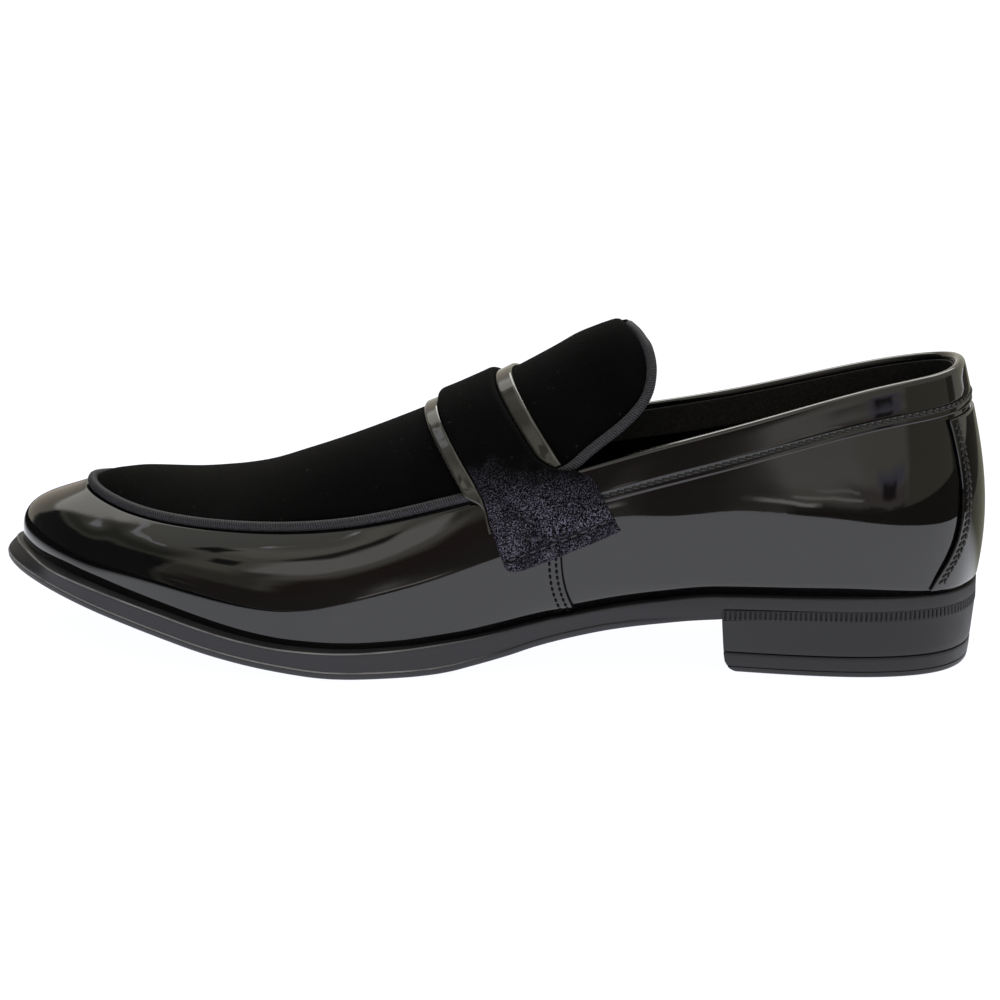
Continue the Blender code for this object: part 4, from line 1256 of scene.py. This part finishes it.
def buildHeel():
    base = sole["liftHeight"] + last["gap"]

    def seat(station):
        return underAt(station) - last["gap"]

    def between(share):
        return lambda station: base + (np.minimum(seat(station), sole["wheelLow"]) - base) * share

    rings = [heelRing(1.0, 1.5, 2.2, base), heelRing(0.7, 1.2, 2.2, base + 0.06)]
    rings.append(heelRing(0.6, 1.08, 2.2, base + 0.3))
    for share in (0.2, 0.4, 0.6, 0.8, 0.96):
        rings.append(heelRing(0.6 - 0.6 * share, 1.08 - 0.98 * share, 2.2 - 2.0 * share, between(share)))
    depth = sole["wheelDepth"]
    rings.append(heelRing(0.0, 0.1, 0.2, between(0.995)))
    rings.append(heelRing(0.0, 0.1 + depth, 0.2, between(1.0)))
    rings.append(heelRing(0.0, 0.1 + depth, 0.2, seat))
    buildHeelPiece("heel_block_rubber", "heel_block", rings)
    # height, breast set back, edge inset, narrowing; the groove near the floor is cut in
    lift = [
        (0.0, 5.2, 2.6, 3.2),
        (0.12, 4.4, 2.05, 3.2),
        (0.5, 3.5, 1.8, 3.1),
        (1.2, 2.4, 1.62, 3.0),
        (1.75, 1.95, 1.54, 2.9),
        (1.85, 2.2, 1.85, 2.9),
        (2.1, 2.2, 1.85, 2.9),
        (2.2, 1.7, 1.48, 2.8),
        (3.6, 1.0, 1.3, 2.6),
        (5.2, 0.75, 1.18, 2.5),
        (6.2, 0.62, 1.1, 2.4),
        (6.5, 0.75, 1.25, 2.4),
        (6.6, 1.0, 1.6, 2.4),
    ]
    rings = [heelRing(short, inset, pinch, height) for height, short, inset, pinch in lift]
    buildHeelPiece("top_lift_rubber", "top_lift", rings)


# notches of the wheel round the heel's seat
wheel = {
    "pitch": 1.5,
    "depth": 0.55,
    "columnsPerNotch": 8,
    "rows": 12,
    "inset": 0.06,
    "rim": 0.1,
    # shares of the pitch and of the strip's height over which a notch begins and ends
    "notchFrom": (0.2, 0.38),
    "notchTo": (0.62, 0.8),
    "lowFrom": (0.04, 0.16),
    "highTo": (0.86, 0.97),
}


def buildWheelStrip():
    ends = []
    for side in (1, -1):
        places = np.linspace(0, side * last["throat"], 500)
        ends.append(np.interp(sole["heelLength"] - 0.2, outlineAt(places)[:, 0], places))
    path = np.linspace(*ends, 900)
    run = runLength(outlineAt(path))
    notches = round(run[-1] / wheel["pitch"])
    columns = notches * wheel["columnsPerNotch"] + 1
    where = np.interp(np.linspace(0, run[-1], columns), run, path)
    tall = np.linspace(0, 1, wheel["rows"])
    low, high = sole["wheelLow"] + 0.05, sole["wheelHigh"] - 0.02

    def place(row, column):
        share = tall[row]
        phase = column / wheel["columnsPerNotch"] % 1
        notch = easeStep(*wheel["notchFrom"], phase) * (1 - easeStep(*wheel["notchTo"], phase))
        window = easeStep(*wheel["lowFrom"], share) * (1 - easeStep(*wheel["highTo"], share))
        edge = (1 - easeStep(0, 0.06, share) * (1 - easeStep(0.94, 1, share))) * wheel["rim"]
        places = insetOutline(where[column], wheel["inset"] + edge + wheel["depth"] * notch * window)[0]
        drop = underAt(places[:, 0]) - underAt(40)
        return np.column_stack([places, low + (high - low) * share + np.minimum(drop, 0) * 0.5])

    piece = gridPiece("heel_wheel_strip", wheel["rows"], columns, place)
    addWall(piece, 0.12)
    return finishPiece(piece, rubber, None, 45)


buildSole()
buildHeel()
buildWheelStrip()

# insole, and the lining strip inside the collar
footbed = {"play": 0.9, "columns": 300, "collarDrop": 10.5, "collarThick": 0.6, "collarGap": 0.08}


def buildInsole():
    count = footbed["columns"]
    where = np.arange(count) / count * sectionCount
    inset = ledgeAt(outlineAt(where)[:, 0]) + last["wall"] + footbed["play"]

    def level(plan, rise):
        return np.column_stack([plan, topAt(plan[:, 0]) + last["gap"] + rise])

    rows = []
    for extra, rise in ((0.4, 0.0), (0.0, 0.4), (0.0, 2.7), (0.25, 2.95), (0.8, 3.0), (5.0, 2.85)):
        rows.append(level(insetOutline(where, inset + extra)[0], rise))
    middle = [level(drawnIn(rows[-1], share), 2.85 - 0.25 * share) for share in (0.35, 0.7, 1.0)]
    rows = np.stack([level(drawnIn(rows[0], 1.0), 0.0)] + rows + middle)
    piece = ringPiece("insole_sock", rows)
    return finishPiece(piece, lining, "insole", 50)


def buildCollarLining():
    places = np.linspace(-band["reach"] - 0.3, band["reach"] + 0.3, 240)
    drops = np.array([0.6, 1.2, 3, 5, 7, 8.6, 9.4, footbed["collarDrop"]])

    def place(row, column):
        where = places[column]
        points, outward, _ = upperFrames(where, levelBelowEdge(where, drops[len(drops) - 1 - row]))
        return points - outward * (last["wall"] + footbed["collarGap"] + footbed["collarThick"])

    piece = gridPiece("collar_lining", len(drops), len(places), place)
    addWall(piece, -footbed["collarThick"])
    softenEdges(piece, 0.2, 2)
    return finishPiece(piece, lining)


buildInsole()
buildCollarLining()

# rows of thread, in millimetres and degrees
stitching = {
    "band": {"pitch": 2.3, "length": 2.5, "radius": 0.5, "slant": 20},
    "stay": {"pitch": 2.1, "length": 2.3, "radius": 0.45, "slant": 24},
    "seam": {"pitch": 2.0, "length": 1.6, "radius": 0.44, "slant": 0},
    "cut": {"pitch": 1.0, "length": 1.5, "radius": 0.34, "slant": 0},  # they overlap into a dark cut edge
    "tab": {"pitch": 3.0, "length": 2.4, "radius": 0.42, "slant": 0},
}


# one rounded stitch, copied along a line and joined
def stitchRow(name, points, outward, style, material, way=1, sink=0.1):
    run = runLength(points)
    count = int(run[-1] // style["pitch"])
    spots = (np.arange(count) + 0.5) / count * run[-1]
    centre = alongLine(spots, run, points)
    out = unitRows(alongLine(spots, run, outward))
    along = unitRows(alongLine(spots + 0.2, run, points) - alongLine(spots - 0.2, run, points))
    beside = np.cross(out, along)
    lean = math.radians(way * style["slant"])
    length = along * math.cos(lean) + beside * math.sin(lean)
    width = beside * math.cos(lean) - along * math.sin(lean)
    bpy.ops.object.select_all(action="DESELECT")
    bpy.ops.mesh.primitive_uv_sphere_add(segments=8, ring_count=8, radius=1)
    base = bpy.context.object
    shape = getPoints(base)
    faces = [tuple(face.vertices) for face in base.data.polygons]
    bpy.data.objects.remove(base)
    blunt = np.sign(shape[:, 0]) * np.abs(shape[:, 0]) ** 0.7
    ahead = (blunt * style["length"] / 2)[:, None]
    aside = (shape[:, 1] * style["radius"])[:, None]
    above = (shape[:, 2] * style["radius"] + (1 - shape[:, 0] ** 2) * 0.12 - sink)[:, None]
    bodies, joined = [], []
    for i in range(count):
        joined += [tuple(index + i * len(shape) for index in face) for face in faces]
        bodies.append(centre[i] + length[i] * ahead + width[i] * aside + out[i] * above)
    mesh = bpy.data.meshes.new(name)
    mesh.from_pydata([tuple(point) for point in toFrame(np.concatenate(bodies))], [], joined)
    piece = bpy.data.objects.new(name, mesh)
    bpy.context.scene.collection.objects.link(piece)
    pickOnly(piece)
    bpy.ops.object.mode_set(mode="EDIT")
    bpy.ops.mesh.select_all(action="SELECT")
    bpy.ops.mesh.normals_make_consistent(inside=False)
    bpy.ops.object.mode_set(mode="OBJECT")
    return finishPiece(piece, material, None, 80)


def bandStitches():
    places = np.linspace(-band["reach"] + 0.05, band["reach"] - 0.05, 400)
    points, outward, _ = upperFrames(places, levelBelowEdge(places, band["stitchDrop"]))
    points = points + outward * (last["gap"] + band["thick"] - band["channel"] + 0.12)
    stitchRow("collar_band_stitches", points, outward, stitching["band"], thread)


def backstayStitches():
    levels = np.linspace(0.05, 0.79, 200)
    for side, word in ((1, "outer"), (-1, "inner")):
        for inset, order, way in ((1.5, "front", 1), (2.7, "rear", -1)):
            where = side * (backstayReachAt(levels) - inset / backstay["sectionLength"])
            points, outward, _ = upperFrames(where, levels)
            points = points + outward * (last["gap"] + backstay["thick"] + 0.02)
            stitchRow(f"backstay_stitches_{word}_{order}", points, outward, stitching["stay"], thread, way)


def seamStitches():
    levels = np.linspace(0.03, 0.95, 160)
    for inner, word in ((False, "outer"), (True, "inner")):
        # distance ahead of the seam, rise off the leather
        for ahead, rise, style, name in (
            (1.5, 0.02, "seam", f"side_seam_stitches_{word}_rear"),
            (3.6, 0.02, "seam", f"side_seam_stitches_{word}_front"),
            (-0.2, 0.0, "cut", f"side_seam_edge_{word}"),
        ):
            where = vamp["seamFoot"] + vamp["seamRise"] * levels + ahead / vamp["sectionLength"]
            where = sectionCount - where if inner else where
            points, outward, _ = upperFrames(where, levels)
            points = points + outward * (upperRelief(where, levels)[:, None] + rise)
            stitchRow(name, points, outward, stitching[style], seamThread)


def tabStitches():
    arc = strapEnd - strap["stitchInset"]
    width = np.linspace(strapFrontAt(arc) - 1.5, strapRearAt(arc) + 1.5, 60)
    rise = np.full(width.shape, strapRiseAt(arc) - 0.5)
    for side, word in ((-1, "outer"), (1, "inner")):
        points, outward = onStrap(width, np.full(width.shape, side * arc), rise)
        stitchRow(f"tab_stitches_{word}", points, outward, stitching["tab"], tabThread, sink=0.16)


bandStitches()
backstayStitches()
seamStitches()
tabStitches()
print("stitches done")

# stage: floor, light and camera
stage = {"floorSize": 14.0, "floorColour": (0.16, 0.16, 0.165), "floorGlow": (0.965, 0.98, 1.04)}
view = {
    "azimuth": 7.0,
    "elevation": 14.5,
    "distance": 0.78,
    "height": 0.05,
    "lens": 89.86,
    "shiftRight": 0.00566,
    "shiftDown": 0.00563,
}


def buildFloor():
    bpy.ops.object.select_all(action="DESELECT")
    bpy.ops.mesh.primitive_plane_add(size=stage["floorSize"], location=(0, 0, -0.0002))
    floor = bpy.context.object
    floor.name = "floor"
    material, _, shader = newMaterial("floor_white")
    setShader(shader, Base_Color=(*stage["floorColour"], 1), Roughness=0.9, Specular_IOR_Level=0.0)
    setShader(shader, Emission_Color=(*stage["floorGlow"], 1), Emission_Strength=1.0)
    material.cycles.emission_sampling = "NONE"
    floor.data.materials.append(material)


# past the toe and behind the heel the table is in shade: dull cards on the floor that fade towards the shoe,
# and beyond the heel stands a low dark strip; all are seen only in the patent
shade = {
    "cardRise": 0.0003,
    "near": (1.042, 1.058, 1.123),  # as bright as the lit floor
    "toeCentre": (-3.54, 0),
    "toeSize": 7.0,
    "toeFade": (-0.29, -0.19),
    "toeColour": (0.01, 0.01, 0.01),
    "heelCentre": (0.7, 0.62),
    "heelSize": 1.2,
    "heelFade": (0.16, 0.11),  # along the shoe
    "heelAcross": (0.09, 0.02),  # and towards it from behind
    "heelColour": (0.2, 0.195, 0.15),
    "stripAt": 0.45,
    "stripHeight": 0.075,
    "stripLength": 9.0,
    "stripColour": (0.06, 0.055, 0.045),
}


def addShade(name, location, scale, upright=False):
    bpy.ops.object.select_all(action="DESELECT")
    bpy.ops.mesh.primitive_plane_add(size=1, location=location)
    card = bpy.context.object
    card.name = name
    card.scale = (*scale, 1)
    card.rotation_euler = (0, math.pi / 2 if upright else 0, 0)
    bpy.ops.object.transform_apply(location=True, rotation=True, scale=True)
    material, nodes, shader = newMaterial(name)
    setShader(shader, Base_Color=(0, 0, 0, 1), Roughness=1.0, Specular_IOR_Level=0.0, Emission_Strength=1.0)
    material.cycles.emission_sampling = "NONE"
    card.data.materials.append(material)
    card.visible_camera = card.visible_shadow = card.visible_diffuse = False
    return nodes, shader


def addFloorShade(name, end, fades):
    place = (*shade[f"{end}Centre"], shade["cardRise"])
    nodes, shader = addShade(name, place, [shade[f"{end}Size"]] * 2)
    lit = 0.0
    for axis, ends in fades:
        fade = easeBetween(nodes, splitPlace(nodes, "Object")[axis], *shade[ends])
        lit = addMath(nodes, "MAXIMUM", lit, fade)
    mixColours(nodes, lit, shade[f"{end}Colour"], shade["near"], shader.inputs["Emission Color"])


def buildShades():
    addFloorShade("toe_shade", "toe", [("X", "toeFade")])
    addFloorShade("heel_shade", "heel", [("X", "heelFade"), ("Y", "heelAcross")])
    tall = shade["stripHeight"]
    place = (shade["stripAt"], 0, tall / 2)
    shader = addShade("heel_strip", place, (tall, shade["stripLength"]), upright=True)[1]
    setShader(shader, Emission_Color=(*shade["stripColour"], 1))


# what stands round the table; the waver bends the patches' outlines
room = {
    "walls": (0.5, 0.48, 0.42),
    "strength": 1.13,
    "waver": (0.1, 0.1, 0.07),
    "waverSize": 7.0,
    "lightMap": 256,
}
# azimuths from the camera's side towards the heel, elevations and softness in degrees, then colour;
# later rows cover earlier ones
roomPatches = [
    (-117, -49, -5, 41, 2.5, (0.034, 0.036, 0.034)),
    (-117, -52, 41, 52.5, 5, (0.13, 0.13, 0.11)),
    (-110, -66, 58, 95, 3, (0.5, 0.5, 0.46)),
    (-122, -72, 53.4, 55.2, 0.6, (1.0, 1.0, 1.05)),
    (-175, -118, 36, 60, 3, (1.15, 1.13, 1.05)),
    (-165, -117, -5, 34, 4, (0.42, 0.38, 0.32)),
    (-360, 360, 77, 120, 3, (1.2, 1.18, 1.05)),
    (-49, -26, 3, 46, 2, (0.24, 0.22, 0.18)),
    (-49, -26, -5, 17, 4, (0.06, 0.05, 0.045)),
    (-45, -36, 9, 11.5, 1, (0.33, 0.3, 0.26)),
    (-52, -36, 38, 60, 4, (0.5, 0.48, 0.4)),
    (-43, 4, -4, 24, 3, (0.10, 0.078, 0.075)),
    (-24, 4, 20, 38, 3, (0.10, 0.07, 0.06)),
    (-34, -8, 44, 58, 2, (0.95, 0.93, 0.9)),
    (-62, -14, 60, 66, 2, (0.72, 0.69, 0.6)),
    (-66, -56, 57.5, 63, 1.2, (0.05, 0.05, 0.05)),
    (-49, -40, 48, 54, 1, (0.06, 0.06, 0.06)),
    (-36, -29, 57, 63, 1.2, (0.08, 0.08, 0.07)),
    (-61, -58, 67.4, 68.6, 0.5, (1.5, 1.5, 1.6)),
    (34, 100, -5, 18, 1.5, (0.27, 0.255, 0.2)),
    (4, 34, -5, 3.5, 1.5, (0.09, 0.075, 0.065)),
    (4, 16, 7, 12, 1.5, (0.6, 0.58, 0.55)),
    (12, 34, 3.5, 8, 1.5, (0.3, 0.26, 0.24)),
    (20, 32, 8, 11, 1, (0.35, 0.33, 0.42)),
    (22, 28, 5.5, 9.5, 0.7, (0.06, 0.05, 0.05)),
    (85, 100, -5, 12, 1.5, (0.1, 0.1, 0.08)),
    (112, 178, -5, 30, 4, (0.42, 0.41, 0.33)),
    (2, 9, 2.4, 3.6, 0.4, (1.3, 1.25, 1.2)),
    (6, 15, 4.7, 5.3, 0.3, (1.0, 0.96, 0.94)),
    (9, 14, 6.3, 6.8, 0.3, (0.8, 0.78, 0.78)),
]


def buildWorld():
    world = bpy.data.worlds.new("studio")
    bpy.context.scene.world = world
    world.use_nodes = True
    nodes, links = world.node_tree.nodes, world.node_tree.links
    light = nodes["Background"]
    place = nodes.new("ShaderNodeTexCoord").outputs["Generated"]
    waver = addNode(nodes, "ShaderNodeTexNoise", Scale=room["waverSize"], Detail=4.0)
    links.new(place, waver.inputs["Vector"])
    offset = addNode(nodes, "ShaderNodeVectorMath", operation="MULTIPLY_ADD")
    offset.inputs[1].default_value = room["waver"]
    links.new(waver.outputs["Color"], offset.inputs[0])
    links.new(place, offset.inputs[2])
    centred = addNode(nodes, "ShaderNodeVectorMath", operation="SUBTRACT")
    centred.inputs[1].default_value = [amount / 2 for amount in room["waver"]]
    links.new(offset.outputs[0], centred.inputs[0])
    split = nodes.new("ShaderNodeSeparateXYZ")
    links.new(centred.outputs[0], split.inputs["Vector"])
    x, y, z = split.outputs
    azimuth = addMath(nodes, "ARCTAN2", x, addMath(nodes, "MULTIPLY", y, -1.0))
    azimuth = addMath(nodes, "DEGREES", azimuth)
    elevation = addMath(nodes, "DEGREES", addMath(nodes, "ARCSINE", z))

    def within(value, low, high, soft):
        away = addMath(nodes, "ABSOLUTE", addMath(nodes, "SUBTRACT", value, (low + high) / 2))
        half = (high - low) / 2
        return easeBetween(nodes, away, half + soft, half - soft)

    colour = room["walls"]
    for left, right, low, high, soft, paint in roomPatches:
        beside = within(azimuth, left, right, soft * 1.5)
        mask = addMath(nodes, "MULTIPLY", beside, within(elevation, low, high, soft))
        colour = mixColours(nodes, mask, colour, paint, light.inputs["Color"])
    light.inputs["Strength"].default_value = room["strength"]
    world.cycles.sampling_method = "MANUAL"
    world.cycles.sample_map_resolution = room["lightMap"]


softbox = {"place": (0.1, 0.9, 1.3), "size": (1.2, 0.8), "power": 9, "colour": (1, 0.99, 0.96)}


def buildSoftbox():
    lamp = bpy.data.lights.new("rear_softbox", "AREA")
    lamp.shape = "RECTANGLE"
    lamp.size, lamp.size_y = softbox["size"]
    lamp.energy = softbox["power"]
    lamp.color = softbox["colour"]
    card = bpy.data.objects.new("rear_softbox", lamp)
    bpy.context.scene.collection.objects.link(card)
    card.location = softbox["place"]
    card.rotation_euler = (-Vector(softbox["place"])).to_track_quat("-Z", "Y").to_euler()


def buildCamera():
    turn, tilt = math.radians(view["azimuth"]), math.radians(view["elevation"])
    back = Vector((math.sin(turn) * math.cos(tilt), -math.cos(turn) * math.cos(tilt), math.sin(tilt)))
    right = Vector((math.cos(turn), math.sin(turn), 0))
    up = back.cross(right)
    target = Vector((0, 0, view["height"]))
    eye = target + back * view["distance"]
    aim = target + right * view["shiftRight"] - up * view["shiftDown"]
    data = bpy.data.cameras.new("camera")
    data.lens = view["lens"]
    data.sensor_width = 36
    data.clip_start, data.clip_end = 0.01, 50
    camera = bpy.data.objects.new("camera", data)
    bpy.context.scene.collection.objects.link(camera)
    camera.location = eye
    camera.rotation_euler = (aim - eye).to_track_quat("-Z", "Y").to_euler()
    bpy.context.scene.camera = camera


buildFloor()
buildShades()
buildWorld()
buildSoftbox()
buildCamera()
bpy.context.scene.view_settings.view_transform = "Standard"
print("stage ready")
